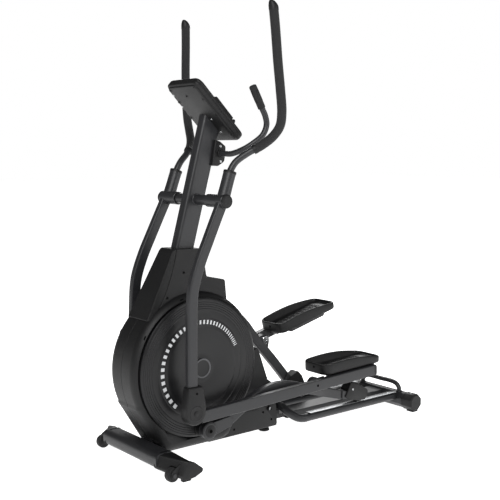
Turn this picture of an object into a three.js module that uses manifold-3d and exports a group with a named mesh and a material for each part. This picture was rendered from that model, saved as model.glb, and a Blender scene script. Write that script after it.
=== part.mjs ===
// Elliptical trainer with a front crank disc, swing levers and rollers on rear rails.
// Millimetres, +Z up, +X towards the user's end, +Y to the user's right hand.
// Modelled with x = 0 on the crank axis, then shifted so that the origin is the
// middle of the footprint on the floor.
import * as THREE from 'three';
import Module from 'manifold-3d';
import { mergeVertices } from 'three/addons/utils/BufferGeometryUtils.js';

const wasm = await Module();
wasm.setup();

// ---------------------------------------------------------------- driving dimensions
const GAP = 0.3;                                   // between faces that rest on each other
const FRONT_END = -285;                            // foremost point, the drum of the housing
const REAR_END = 1134;                             // rearmost point, the rear stabiliser

// Linkage, in the x-z plane
const CRANK = { x: 0, z: 347, radius: 230 };
const SWING_AXLE = { x: 43, z: 972 };
const LEVER_JOINT = { x: -136, z: -762 };          // lower joint seen from the swing axle
const BAR_PIVOT = 635.4;                           // lower joint to roller arm pivot
const ARM = { length: 823, pivotAlong: 541, pivotAbove: 103 };
const ROLLER = { radius: 24.5, width: 30, y: 113 };
const RAIL_TOP = 80.3;
const ROLLER_Z = RAIL_TOP + ROLLER.radius + 0.2;

// Layers across the machine, as distances from the middle plane
const HOUSING_HALF = 94;
const TAIL_HALF = 72;
const DISC_IN = 95;
const DISC_OUT = 105;
const PIN_OUT = 122;                               // outer end of the crank pin sleeves
const ARM_IN = 122.6;                              // inner end of the roller arm eyes
const EYE_OUT = 160;
const LEVER_Y = 182;
const SLEEVE_END = 205;

// Housing, in the x-z plane
const HOUSING_R = 285;
const DISC_R = 262;
const DISC_HOLE_R = 266;
const HOUSING_ARC_END = Math.PI + 0.56;              // where the arc meets the straight front
const WALL = 4;
const HOUSING_LOW = 40;
const DRUM_ROUND = 40;

// Frame
const RAIL_TUBE = { radius: 17, z: 60 };
const RAIL_FRONT = 534;
const RAIL_REAR = 1062;
const BEAM = { half: 30, low: 52, high: 92 };
const MAST = { x: 39, z: 970, tilt: 0.268, depth: 84, width: 44 };
const CONSOLE = { x: 84, z: 1291, tilt: Math.PI / 4, length: 296, width: 200 };
const REAR_BAR = { x: 1097, z: 42, radius: 33, half: 168 };
const FRONT_BAR = { x: -218, z: 60, deep: 80, high: 56, half: 212 };
const FRONT_WHEEL = { x: -228, y: 240, z: 25.3, radius: 25, half: 12 };

// ---------------------------------------------------------------- materials
const finish = (color, roughness, metalness) => ({ color, roughness, metalness });
const PAINT = finish(0x2b2c2e, 0.42, 0.35);
const PLASTIC = finish(0x1c1c1d, 0.62, 0.0);
const DISC_PLASTIC = finish(0x222324, 0.45, 0.0);
const RUBBER = finish(0x18181a, 0.85, 0.0);
const ALUMINIUM = finish(0xd4d6d8, 0.32, 0.9);
const STEEL = finish(0x8d9094, 0.35, 0.9);
const GLASS = finish(0x0b0d10, 0.12, 0.0);
const KEY = finish(0x3a3c40, 0.7, 0.0);

// ---------------------------------------------------------------- solid helpers
function toSolid(geometry) {
  const bare = geometry.clone();
  bare.deleteAttribute('normal');
  bare.deleteAttribute('uv');
  const merged = mergeVertices(bare, 1e-3);
  return new wasm.Manifold(new wasm.Mesh({
    numProp: 3,
    vertProperties: new Float32Array(merged.attributes.position.array),
    triVerts: new Uint32Array(merged.index.array),
  }));
}

function toGeometry(solid) {
  const mesh = solid.getMesh();
  const geometry = new THREE.BufferGeometry();
  geometry.setAttribute('position', new THREE.BufferAttribute(mesh.vertProperties, 3));
  geometry.setIndex(new THREE.BufferAttribute(mesh.triVerts, 1));
  return geometry;
}

function join(...geometries) {
  return toGeometry(geometries.map(toSolid).reduce((whole, solid) => whole.add(solid)));
}

function cut(body, ...tools) {
  return toGeometry(tools.map(toSolid).reduce((rest, tool) => rest.subtract(tool), toSolid(body)));
}

// The smallest convex solid around the points.
function wrapped(points) {
  return toGeometry(wasm.Manifold.hull(points));
}

function common(a, b) {
  return toGeometry(toSolid(a).intersect(toSolid(b)));
}

// The same solid on the other side of the middle plane.
function mirrored(geometry) {
  const copy = geometry.index ? geometry.toNonIndexed() : geometry.clone();
  const position = copy.attributes.position;
  for (let i = 0; i < position.count; i += 3) {
    const [a, b, c] = [0, 1, 2].map((k) => new THREE.Vector3().fromBufferAttribute(position, i + k));
    [a, c, b].forEach((v, k) => position.setXYZ(i + k, v.x, -v.y, v.z));
  }
  return copy;
}

// An outline in the x-z plane, extruded across the machine from y0 to y1.
function slab(shape, y0, y1, bevel = 0, curveSegments = 8) {
  const depth = y1 - y0 - 2 * bevel;
  const geometry = new THREE.ExtrudeGeometry(shape, {
    depth,
    curveSegments,
    bevelEnabled: bevel > 0,
    bevelThickness: bevel,
    bevelSize: bevel,
    bevelOffset: -bevel,
    bevelSegments: 2,
  });
  geometry.rotateX(Math.PI / 2);
  return geometry.translate(0, y1 - bevel, 0);
}

// An outline in the x-y plane, extruded upwards from z0 to z1.
function plate(shape, z0, z1, curveSegments = 4) {
  const geometry = new THREE.ExtrudeGeometry(shape, { depth: z1 - z0, curveSegments, bevelEnabled: false });
  return geometry.translate(0, 0, z0);
}

function box(x0, x1, y0, y1, z0, z1) {
  const geometry = new THREE.BoxGeometry(x1 - x0, y1 - y0, z1 - z0);
  return geometry.translate((x0 + x1) / 2, (y0 + y1) / 2, (z0 + z1) / 2);
}

// A round bar or disc whose axis runs across the machine.
function barY(radius, y0, y1, x = 0, z = 0, sides = 24) {
  return new THREE.CylinderGeometry(radius, radius, y1 - y0, sides).translate(x, (y0 + y1) / 2, z);
}

function pipeY(outer, inner, y0, y1, x = 0, z = 0, sides = 24) {
  const profile = [[inner, y0], [outer, y0], [outer, y1], [inner, y1], [inner, y0]];
  return new THREE.LatheGeometry(profile.map(([r, y]) => new THREE.Vector2(r, y)), sides).translate(x, 0, z);
}

function polygon(points) {
  return new THREE.Shape(points.map(([x, y]) => new THREE.Vector2(x, y)));
}

function roundedRectPath(path, w, h, r) {
  const [x, y] = [w / 2, h / 2];
  path.moveTo(-x + r, -y);
  path.lineTo(x - r, -y);
  path.absarc(x - r, -y + r, r, -Math.PI / 2, 0);
  path.lineTo(x, y - r);
  path.absarc(x - r, y - r, r, 0, Math.PI / 2);
  path.lineTo(-x + r, y);
  path.absarc(-x + r, y - r, r, Math.PI / 2, Math.PI);
  path.lineTo(-x, -y + r);
  path.absarc(-x + r, -y + r, r, Math.PI, 1.5 * Math.PI);
  return path;
}

function roundedRect(w, h, r, wall = 0) {
  const shape = roundedRectPath(new THREE.Shape(), w, h, r);
  if (wall > 0) {
    shape.holes.push(roundedRectPath(new THREE.Path(), w - 2 * wall, h - 2 * wall, Math.max(r - wall, 1)));
  }
  return shape;
}

function ring(radius, wall = 0, sides = 12) {
  const loop = (r) => Array.from({ length: sides }, (_, i) => {
    const angle = (2 * Math.PI * i) / sides;
    return new THREE.Vector2(r * Math.cos(angle), r * Math.sin(angle));
  });
  const shape = new THREE.Shape(loop(radius));
  if (wall > 0) {
    shape.holes.push(new THREE.Path(loop(radius - wall)));
  }
  return shape;
}

// A tube whose section follows a smooth line through the points.
function tube(section, points, steps, curveSegments = 1) {
  const path = new THREE.CatmullRomCurve3(points.map((p) => new THREE.Vector3(...p)), false, 'centripetal');
  return new THREE.ExtrudeGeometry(section, { steps, extrudePath: path, curveSegments, bevelEnabled: false });
}

// Points on a smooth line, every step of it between two fractions of its length.
function along(points, from, to, count) {
  const path = new THREE.CatmullRomCurve3(points.map((p) => new THREE.Vector3(...p)), false, 'centripetal');
  return Array.from({ length: count }, (_, i) => path.getPointAt(from + ((to - from) * i) / (count - 1)).toArray());
}

const heading = (a, b) => Math.atan2(b.z - a.z, b.x - a.x);

// ---------------------------------------------------------------- linkage at rest
function turned(x, z, angle) {
  return { x: x * Math.cos(angle) - z * Math.sin(angle), z: x * Math.sin(angle) + z * Math.cos(angle) };
}

// Where one side's links stand when its crank pin is at the given angle.
function linkage(crankAngle) {
  const pin = {
    x: CRANK.x + CRANK.radius * Math.cos(crankAngle),
    z: CRANK.z + CRANK.radius * Math.sin(crankAngle),
  };
  const drop = pin.z - ROLLER_Z;
  const roller = { x: pin.x + Math.sqrt(ARM.length ** 2 - drop ** 2), z: ROLLER_Z };
  const armAngle = heading(pin, roller);
  const offset = turned(ARM.pivotAlong, ARM.pivotAbove, armAngle);
  const pivot = { x: pin.x + offset.x, z: pin.z + offset.z };
  const lever = Math.hypot(LEVER_JOINT.x, LEVER_JOINT.z);
  const span = Math.hypot(pivot.x - SWING_AXLE.x, pivot.z - SWING_AXLE.z);
  const corner = Math.acos((lever ** 2 + span ** 2 - BAR_PIVOT ** 2) / (2 * lever * span));
  const towardsJoint = heading(SWING_AXLE, pivot) - corner;
  const joint = {
    x: SWING_AXLE.x + lever * Math.cos(towardsJoint),
    z: SWING_AXLE.z + lever * Math.sin(towardsJoint),
  };
  return {
    pin,
    pivot,
    joint,
    leverAngle: towardsJoint - Math.atan2(LEVER_JOINT.z, LEVER_JOINT.x),
    barAngle: heading(joint, pivot),
    armAngle,
  };
}

// ---------------------------------------------------------------- scene graph helpers
const trainer = new THREE.Group();

function add(name, geometry, look, parent = trainer) {
  const material = new THREE.MeshStandardMaterial({ ...look, flatShading: true });
  const mesh = new THREE.Mesh(geometry, material);
  mesh.name = name;
  parent.add(mesh);
  return mesh;
}

function addPair(name, leftGeometry, look) {
  add(`${name}_left`, leftGeometry, look);
  add(`${name}_right`, mirrored(leftGeometry), look);
}

// ---------------------------------------------------------------- frame
const mastX = (z) => MAST.x + Math.tan(MAST.tilt) * (z - MAST.z);

function tilted(geometry) {
  return geometry.rotateY(MAST.tilt).translate(MAST.x, 0, MAST.z);
}

function mainFrame() {
  const beam = cut(
    box(-176, 452, -BEAM.half, BEAM.half, BEAM.low, BEAM.high),
    box(-180, 460, -BEAM.half + 3, BEAM.half - 3, BEAM.low + 3, BEAM.high - 3),
  );
  const saddle = box(-176, -150, -90, 90, BEAM.low, BEAM.low + 6);
  const post = cut(
    box(-92, -48, -14, 14, BEAM.high - 1, 582),
    box(-88, -52, -10, 10, BEAM.high - 5, 560),
  );
  const spigot = cut(tilted(box(-34, 34, -15, 15, -430, -185)), tilted(box(-30, 30, -11, 11, -380, -100)));
  const arm = cut(box(-60, 0, -12, 12, CRANK.z - 22, CRANK.z + 22), barY(29, -20, 20, CRANK.x, CRANK.z));
  const bearingTube = pipeY(30, 15.4, -70, 70, CRANK.x, CRANK.z);
  const wheelPost = box(172, 198, -57, -50, BEAM.high - 1, 222);
  const postFoot = box(172, 198, -57, -20, BEAM.high - 1, BEAM.high + 5);
  const wheelAxle = barY(6, -57, 89, FLYWHEEL.x, FLYWHEEL.z, 16);
  const rearBeam = cut(
    box(440, REAR_BAR.x - REAR_BAR.radius - GAP, -40, 40, 45, 73),
    box(460, 1200, -37, 37, 48, 70),
  );
  const drain = box(-53, -47, -40, 0, 300, 306);
  return cut(join(beam, saddle, post, spigot, arm, bearingTube, wheelPost, postFoot, wheelAxle, rearBeam), drain);
}

function railFrame() {
  const half = [
    [REAR_BAR.x - REAR_BAR.radius - GAP, -ROLLER.y, RAIL_TUBE.z],
    [900, -ROLLER.y, RAIL_TUBE.z],
    [700, -ROLLER.y, RAIL_TUBE.z],
    [536, -ROLLER.y, RAIL_TUBE.z],
    [512, -ROLLER.y, RAIL_TUBE.z],
    [486, -104, 65],
    [459, -80, 84],
    [444, -44, 109],
  ];
  const back = half.map(([x, y, z]) => [x, -y, z]).reverse();
  return tube(ring(RAIL_TUBE.radius, 2.5, 10), [...half, [441, 0, 111.5], ...back], 28);
}

function rail() {
  const strip = cut(
    plate(roundedRect(RAIL_REAR - RAIL_FRONT, 34, 10), RAIL_TOP - 3, RAIL_TOP, 4),
    box(-400, 400, -1.5, 1.5, RAIL_TOP - 1, RAIL_TOP + 5),
  );
  return strip.translate((RAIL_REAR + RAIL_FRONT) / 2, -ROLLER.y, 0);
}

function mast() {
  const post = tilted(plate(roundedRect(MAST.depth, MAST.width, 16, 3), -400, 400, 2));
  const boss = pipeY(24, 11, -96, 96, SWING_AXLE.x, SWING_AXLE.z, 20);
  const bore = barY(23, -60, 60, SWING_AXLE.x, SWING_AXLE.z);
  const top = new THREE.BoxGeometry(600, 300, 300).translate(0, 0, 150 - GAP - 6);
  top.rotateY(CONSOLE.tilt).translate(CONSOLE.x, 0, CONSOLE.z);
  return cut(join(cut(post, bore), boss), top);
}

function frontBar() {
  const section = roundedRect(FRONT_BAR.deep, FRONT_BAR.high, 26, 3);
  const geometry = plate(section, -FRONT_BAR.half, FRONT_BAR.half, 3).rotateX(Math.PI / 2);
  return cut(geometry.translate(FRONT_BAR.x, 0, FRONT_BAR.z),
    box(-176 - GAP, 0, -91, 91, 0, BEAM.high + 1));
}

function rearBar() {
  const eighth = Math.PI / 8;
  const tubeShape = barY(REAR_BAR.radius / Math.cos(eighth), -REAR_BAR.half, REAR_BAR.half, 0, 0, 8).rotateY(eighth);
  const bore = barY((REAR_BAR.radius - 3) / Math.cos(eighth), -400, 400, 0, 0, 8).rotateY(eighth);
  return cut(tubeShape, bore).translate(REAR_BAR.x, 0, REAR_BAR.z);
}

// End cap of the front bar: it sweeps back to a low pointed end and holds a transport wheel in front.
function frontCap() {
  const root = [[-261, 50], [-250, 84], [-228, 91], [-194, 91], [-175, 72], [-175, 44], [-194, 31], [-250, 31]];
  const tip = [[-208, 26], [-180, 72], [-150, 62], [-114, 32], [-118, 22], [-150, 8], [-184, 4], [-204, 10]];
  const body = wrapped([...root.map(([x, z]) => [x, -172, z]), ...tip.map(([x, z]) => [x, -276, z])]);
  const section = roundedRect(FRONT_BAR.deep + 2 * GAP, FRONT_BAR.high + 2 * GAP, 26);
  const socket = plate(section, 0, 60, 3).rotateX(Math.PI / 2).translate(FRONT_BAR.x, -FRONT_BAR.half + 60 - GAP, FRONT_BAR.z);
  const { x, y, z, radius, half } = FRONT_WHEEL;
  const wheelWell = barY(radius + 4, -y - half - 3, -y + half + 3, x, z);
  const front = box(-300, x, -y - half - 3, -y + half + 3, -10, z + radius + 8);
  const cheek = polygon([[x - 13, z - 12], [-196, 16], [-180, 40], [-204, 66], [x - 13, z + 14]]);
  const fork = [-y - half - 6, -y + half + 2].map((face) => slab(cheek, face, face + 4));
  const axle = barY(6, -y - half - 5, -y + half + 5, x, z, 12);
  const pad = box(-202, -168, -272, -y - half - 4, 0, 14);
  return join(cut(body, socket, wheelWell, front), ...fork, axle, pad);
}

function rearCap() {
  const eighth = Math.PI / 8;
  const radius = (REAR_BAR.radius + 3.5) / Math.cos(eighth);
  const body = barY(radius, -212, -REAR_BAR.half + 18, 0, 0, 8).rotateY(eighth).translate(REAR_BAR.x, 0, REAR_BAR.z);
  const socket = barY((REAR_BAR.radius + GAP) / Math.cos(eighth), -REAR_BAR.half - GAP, 0, 0, 0, 8);
  socket.rotateY(eighth).translate(REAR_BAR.x, 0, REAR_BAR.z);
  const tread = box(REAR_BAR.x - 16, REAR_BAR.x + 16, -208, -172, 0, 8);
  return join(cut(body, socket, box(0, 2000, -400, 400, -20, 0)), tread);
}

function liftHandle() {
  const y = 112;
  const foot = REAR_BAR.z + REAR_BAR.radius + 4 * GAP;
  const half = [[1094, -y, foot], [1094, -y + 1, 90], [1094, -97, 106], [1094, -70, 113]];
  const back = half.map(([x, yy, z]) => [x, -yy, z]).reverse();
  return tube(ring(10, 0, 8), [...half, [1094, 0, 113], ...back], 26);
}

function centreFoot() {
  const pad = new THREE.CylinderGeometry(20, 23, 12, 20).rotateX(Math.PI / 2).translate(0, 0, 12);
  const stem = new THREE.CylinderGeometry(6, 6, 34, 12).rotateX(Math.PI / 2).translate(0, 0, 34);
  return join(pad, stem).translate(392, 0, 0);
}

// ---------------------------------------------------------------- housing
function housingOutline(shrink) {
  const r = HOUSING_R - shrink;
  const shape = new THREE.Shape();
  shape.moveTo(-146 + shrink, HOUSING_LOW + 14 + shrink);
  shape.lineTo(-122 + shrink, HOUSING_LOW + shrink);
  shape.lineTo(120, HOUSING_LOW + shrink);
  shape.absarc(CRANK.x, CRANK.z, r, -0.72, HOUSING_ARC_END, false);
  shape.closePath();
  return shape;
}

function tailOutline(shrink) {
  return polygon([
    [-60, HOUSING_LOW + shrink], [402 - shrink, HOUSING_LOW + shrink], [402 - shrink, 92],
    [396 - shrink, 140], [384 - shrink, 208], [370 - shrink, 230 - shrink], [352 - shrink, 240 - shrink],
    [298 - shrink, 384], [200, 420], [0, 300],
  ]);
}

function housingHalf() {
  const farSide = box(-600, 600, -GAP / 2, 200, -100, 900);
  const outer = join(
    slab(housingOutline(0), -HOUSING_HALF, HOUSING_HALF, DRUM_ROUND, 14),
    slab(tailOutline(0), -TAIL_HALF, TAIL_HALF),
  );
  const inner = join(
    slab(housingOutline(WALL), -HOUSING_HALF + WALL, HOUSING_HALF - WALL, DRUM_ROUND - 2, 14),
    slab(tailOutline(WALL), -TAIL_HALF + WALL, TAIL_HALF),
  );
  const bottom = box(-300, 500, -BEAM.half - 1, 10, 0, BEAM.high + 2);
  const discHole = barY(DISC_HOLE_R, -HOUSING_HALF - 5, -HOUSING_HALF + 20, CRANK.x, CRANK.z, 40);
  const mastHole = tilted(box(-46, 46, -26, 26, -500, -100));
  return cut(outer, farSide, inner, bottom, discHole, mastHole);
}

const BOOT = {
  frontLow: [-214, 540], frontHigh: [-86, 784], topFront: [-72, 794], topRear: [52, 790],
  rearLow: [64, 680], ledge: [150, 664], ledgeLow: [154, 560],
};

function bootOutline(shrink) {
  return polygon([
    [BOOT.frontLow[0] + shrink, BOOT.frontLow[1]], [BOOT.frontHigh[0] + shrink, BOOT.frontHigh[1]],
    [BOOT.topFront[0] + shrink, BOOT.topFront[1]], [BOOT.topRear[0] - shrink, BOOT.topRear[1]],
    [BOOT.rearLow[0] - shrink, BOOT.rearLow[1] - shrink], [BOOT.ledge[0] - shrink, BOOT.ledge[1] - shrink],
    [BOOT.ledgeLow[0] - shrink, BOOT.ledgeLow[1]], [0, 480],
  ].reverse());
}

function boot() {
  const wedge = (inset) => {
    const half = (z) => 66 - (z - 550) * 0.085 - inset;
    const shape = polygon([[-half(400), 400], [half(400), 400], [half(900), 900], [-half(900), 900]]);
    return new THREE.ExtrudeGeometry(shape, { depth: 600, bevelEnabled: false })
      .rotateX(Math.PI / 2).rotateZ(Math.PI / 2).translate(-300, 0, 0);
  };
  const outer = common(slab(bootOutline(0), -90, 90), wedge(0));
  const inner = common(slab(bootOutline(WALL), -90, 90), wedge(WALL));
  const drum = barY(HOUSING_R + 1.5, -200, 200, CRANK.x, CRANK.z, 48);
  const mastHole = tilted(plate(roundedRect(MAST.depth + 1, MAST.width + 1, 16), -500, 0, 3));
  return cut(outer, inner, drum, mastHole);
}

// The strip in front of a slanting plane is the nose cover, the rest is the boot cover.
function noseSide(offset) {
  const lean = Math.atan2(BOOT.frontHigh[0] - BOOT.frontLow[0], BOOT.frontHigh[1] - BOOT.frontLow[1]);
  return box(-400, offset, -120, 120, -400, 400).rotateY(lean)
    .translate(BOOT.frontLow[0], 0, BOOT.frontLow[1]);
}

// ---------------------------------------------------------------- drive
const FLYWHEEL = { x: 185, z: 210, radius: 98 };
const PULLEY_R = 130;
const SMALL_PULLEY_R = 17;

function discCover() {
  const profile = [
    [0, -DISC_OUT - 3], [152, -DISC_OUT - 3], [164, -DISC_OUT], [184, -DISC_OUT], [190, -DISC_OUT + 2],
    [DISC_R - 22, -DISC_OUT + 2], [DISC_R - 6, -DISC_OUT + 5], [DISC_R, -DISC_OUT + 7],
    [DISC_R, -DISC_IN], [DISC_R - 5, -DISC_IN], [DISC_R - 9, -DISC_IN - 4], [46, -DISC_IN - 4],
    [42, -DISC_IN], [0, -DISC_IN],
  ];
  const points = profile.map(([r, y]) => new THREE.Vector2(r, y));
  return new THREE.LatheGeometry(points, 32).translate(CRANK.x, 0, CRANK.z);
}

function crankAxle() {
  return barY(15, -DISC_IN + GAP, DISC_IN - GAP, CRANK.x, CRANK.z, 20);
}

function crankPin() {
  const face = DISC_OUT - 2 + GAP;
  return barY(30, -PIN_OUT, -face, CRANK.x, CRANK.z - CRANK.radius, 20);
}

function drivePulley() {
  const profile = [
    [15.3, 72], [34, 72], [34, 76], [PULLEY_R - 8, 76], [PULLEY_R, 72], [PULLEY_R, 86],
    [PULLEY_R - 8, 81], [34, 81], [34, 86], [15.3, 86], [15.3, 72],
  ];
  return new THREE.LatheGeometry(profile.map(([r, y]) => new THREE.Vector2(r, y)), 24)
    .translate(CRANK.x, 0, CRANK.z);
}

function flywheel() {
  const profile = [
    [6.3, -46], [20, -46], [20, -40], [70, -40], [70, -46], [FLYWHEEL.radius, -46], [FLYWHEEL.radius, -24],
    [70, -24], [70, -30], [20, -30], [20, 70], [SMALL_PULLEY_R, 71], [SMALL_PULLEY_R, 88], [6.3, 88], [6.3, -46],
  ].map(([r, y]) => new THREE.Vector2(r, y));
  return new THREE.LatheGeometry(profile, 20).translate(FLYWHEEL.x, 0, FLYWHEEL.z);
}

// A loop over the two pulleys, drawn as arcs joined by their outer tangents.
function belt() {
  const dx = FLYWHEEL.x - CRANK.x;
  const dz = FLYWHEEL.z - CRANK.z;
  const heading = Math.atan2(dz, dx);
  const lean = Math.acos((PULLEY_R - SMALL_PULLEY_R) / Math.hypot(dx, dz));
  const loop = (path, extra) => {
    path.absarc(CRANK.x, CRANK.z, PULLEY_R + extra, heading + lean, heading - lean + 2 * Math.PI, false);
    path.absarc(FLYWHEEL.x, FLYWHEEL.z, SMALL_PULLEY_R + extra, heading - lean, heading + lean, false);
    path.closePath();
    return path;
  };
  const shape = loop(new THREE.Shape(), 3.2);
  shape.holes.push(loop(new THREE.Path(), 0.8));
  return slab(shape, 74, 84, 0, 12);
}

function magnetBracket() {
  const [inner, outer] = [FLYWHEEL.radius + 3, FLYWHEEL.radius + 15];
  const shape = new THREE.Shape();
  shape.absarc(0, 0, outer, -0.9, 0.7, false);
  shape.absarc(0, 0, inner, 0.7, -0.9, true);
  shape.closePath();
  return slab(shape, -44, -26, 0, 10).translate(FLYWHEEL.x, 0, FLYWHEEL.z);
}

// ---------------------------------------------------------------- console and fixed bars
function onConsole(geometry) {
  return geometry.rotateY(CONSOLE.tilt).translate(CONSOLE.x, 0, CONSOLE.z);
}

const BACK_DEPTH = 20;                             // the console's back shell ends here
const FACE_DEPTH = 34;                             // and its front face here
const DISPLAY = { x: -88, length: 80, width: 140 };
const KEY_X = 116;
const KEYS = [{ name: 'down_key', y: -44 }, { name: 'start_key', y: 0 }, { name: 'up_key', y: 44 }];

function consoleBack() {
  const { length, width } = CONSOLE;
  const rim = plate(roundedRect(length, width, 26), 8, BACK_DEPTH, 4);
  const panel = plate(roundedRect(length - 20, width - 20, 20), 0, 8.5, 4);
  const hollow = plate(roundedRect(length - 28, width - 28, 16), 3, BACK_DEPTH + 5, 4);
  const socket = box(4, 98, -28, 28, -6, 3.5);
  const bore = box(20, 82, -10, 10, -10, 10);
  return onConsole(cut(join(cut(join(rim, panel), hollow), socket), bore));
}

function consoleFront() {
  const { length, width } = CONSOLE;
  const face = plate(roundedRect(length, width, 26), BACK_DEPTH + GAP, FACE_DEPTH, 4);
  const rest = box(-40, 90, -84, 84, FACE_DEPTH - 1, 54);
  const groove = box(70, 80, -90, 90, 44, 60);
  const window = box(DISPLAY.x - DISPLAY.length / 2, DISPLAY.x + DISPLAY.length / 2,
    -DISPLAY.width / 2, DISPLAY.width / 2, 10, 60);
  const keys = KEYS.map(({ y }) => box(KEY_X - 10, KEY_X + 10, y - 14, y + 14, 10, 60));
  return onConsole(cut(join(face, rest), groove, window, ...keys));
}

function consoleDisplay() {
  const half = { x: DISPLAY.length / 2 - GAP, y: DISPLAY.width / 2 - GAP };
  return onConsole(box(DISPLAY.x - half.x, DISPLAY.x + half.x, -half.y, half.y,
    BACK_DEPTH + GAP, FACE_DEPTH - 1));
}

function consoleKey(y) {
  return onConsole(box(KEY_X - 9.6, KEY_X + 9.6, y - 13.6, y + 13.6, FACE_DEPTH - 8, FACE_DEPTH + 3));
}

const BAR_ROOT = { x: 146, z: 1144 };

function pulseBar() {
  const half = [
    [188, -180, 1385], [228, -180, 1315], [247, -180, 1280], [252, -180, 1250], [238, -176, 1214],
    [203, -161, 1182], [172, -132, 1157], [154, -90, 1143], [BAR_ROOT.x + 1, -54, BAR_ROOT.z],
    [BAR_ROOT.x, -34, BAR_ROOT.z],
  ];
  const back = half.map(([x, y, z]) => [x, -y, z]).reverse();
  return tube(ring(11, 2, 8), [...half, [BAR_ROOT.x, 0, BAR_ROOT.z], ...back], 32);
}

function pulseGrip() {
  return cut(
    tube(ring(14.5, 0, 12), [[236.6, -180, 1299], [184, -180, 1392]], 1),
    tube(ring(12.2, 0, 12), [[240.5, -180, 1292], [187.7, -180, 1385.5]], 1),
  );
}

function barClamp() {
  const lobes = new THREE.Shape();
  lobes.moveTo(-26, 52);
  lobes.lineTo(6, 50);
  lobes.absarc(6, 26, 24, Math.PI / 2, -0.7, true);
  lobes.lineTo(14, 0);
  lobes.absarc(0, -26, 24, 0.7, -Math.PI / 2, true);
  lobes.lineTo(-26, -50);
  const cover = slab(lobes, -36, 36, 0, 8).translate(BAR_ROOT.x, 0, BAR_ROOT.z);
  const mastSpace = tilted(plate(roundedRect(MAST.depth + 2 * GAP, MAST.width + 2 * GAP, 16), -100, 500, 3));
  return cut(cover, mastSpace, barY(12.4, -60, 60, BAR_ROOT.x, BAR_ROOT.z, 20));
}

// ---------------------------------------------------------------- swinging side
const SOCKET = { x: 4, y: 176, lean: 0.32 };

function socketPoint(height) {
  return [SOCKET.x + height * Math.sin(SOCKET.lean), -SOCKET.y, height * Math.cos(SOCKET.lean)];
}

// A lever hangs from the swing axle: its own zero is at the axle.
function lever() {
  const sleeve = pipeY(25, 13, -SLEEVE_END, -97, 0, 0, 20);
  const lowEnd = LEVER_JOINT.z + 36;
  const curve = [
    [-6, -LEVER_Y, -14], [-34, -LEVER_Y, -70], [-104, -LEVER_Y, -220], [-131, -LEVER_Y, -298],
    [-140, -LEVER_Y, -370], [-142, -LEVER_Y, -534], [-142, -LEVER_Y, -649], [LEVER_JOINT.x, -LEVER_Y, lowEnd],
  ];
  const bar = cut(tube(roundedRect(25, 42, 7, 2.5), curve, 12), barY(24, -220, -90));
  const socket = pipeY(24, 14.4, 8, 114, 0, 0, 16).rotateX(Math.PI / 2).rotateY(SOCKET.lean);
  const [inner, outer] = [-LEVER_Y + 14.5, -LEVER_Y - 15];
  const stand = box(LEVER_JOINT.x - 14, LEVER_JOINT.x + 14, outer, inner, lowEnd - 3, lowEnd + 12);
  const cheeks = [inner - 2.5, outer].map((face) => slab(strap(LEVER_JOINT, 22, 46), face, face + 2.5));
  const bore = barY(8.2, outer - 9, inner + 9, LEVER_JOINT.x, LEVER_JOINT.z, 16);
  const drain = box(LEVER_JOINT.x - 3, LEVER_JOINT.x + 3, -LEVER_Y - 30, -LEVER_Y, lowEnd + 20, lowEnd + 26);
  const top = cut(socket.translate(SOCKET.x, -SOCKET.y, 0), barY(24, -220, -90));
  return cut(join(bar, top, sleeve, stand, ...cheeks), bore, drain);
}

// A round-ended strap standing on a joint.
function strap(at, radius, height) {
  const shape = new THREE.Shape();
  shape.moveTo(at.x - radius * 0.8, at.z + height);
  shape.absarc(at.x, at.z, radius, Math.PI, 2 * Math.PI, false);
  shape.lineTo(at.x + radius * 0.8, at.z + height);
  shape.closePath();
  return shape;
}

function leverCover() {
  const outline = (r, neck, top) => {
    const shape = new THREE.Shape();
    shape.moveTo(LEVER_JOINT.x - neck, LEVER_JOINT.z + top);
    shape.absarc(LEVER_JOINT.x, LEVER_JOINT.z, r, Math.PI, 2.1 * Math.PI, false);
    shape.lineTo(LEVER_JOINT.x + neck, LEVER_JOINT.z + top);
    shape.closePath();
    return shape;
  };
  const shell = slab(outline(45, 33, 98), -LEVER_Y - 21, -LEVER_Y + 17, 3, 12);
  const [outer, inner] = [-LEVER_Y - 17.5, -LEVER_Y + 15];
  const inside = slab(outline(42, 30, 140), outer, inner, 0, 12);
  const barWay = box(LEVER_JOINT.x + 4, LEVER_JOINT.x + 80, outer, inner, LEVER_JOINT.z - 60, LEVER_JOINT.z + 34);
  return cut(shell, inside, barWay);
}

const HANDLE_LINE = [
  socketPoint(60), socketPoint(112), [61, -180, 140], [101, -198, 172], [142, -232, 202], [168, -265, 234],
  [179, -292, 272], [177, -304, 320], [169, -305, 400], [161, -300, 500], [155, -294, 610], [149, -289, 694],
];

function handleTube() {
  // the tube stops just short of the grip's end cap
  const line = along([socketPoint(30), ...HANDLE_LINE], 0, 0.99, 29);
  return tube(ring(12.7, 2.2, 8), line, 28);
}

function handleGrip() {
  const line = along(HANDLE_LINE, 0.24, 1, 17);
  const sleeve = tube(ring(17.6, 1.4, 8), line, 17);
  const [x, y, z] = HANDLE_LINE[HANDLE_LINE.length - 1];
  const cap = new THREE.CylinderGeometry(11, 17.2, 24, 10).rotateX(Math.PI / 2).translate(x, y, z + 10);
  return join(sleeve, cap);
}

// A pedal bar hangs on the lever's lower joint: its own zero is there, +x towards the roller arm pivot.
const BAR_LEAN = Math.atan2(22.7, BAR_PIVOT);
const BAR_DROP = 22;
const BAR_END = 943;

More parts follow.
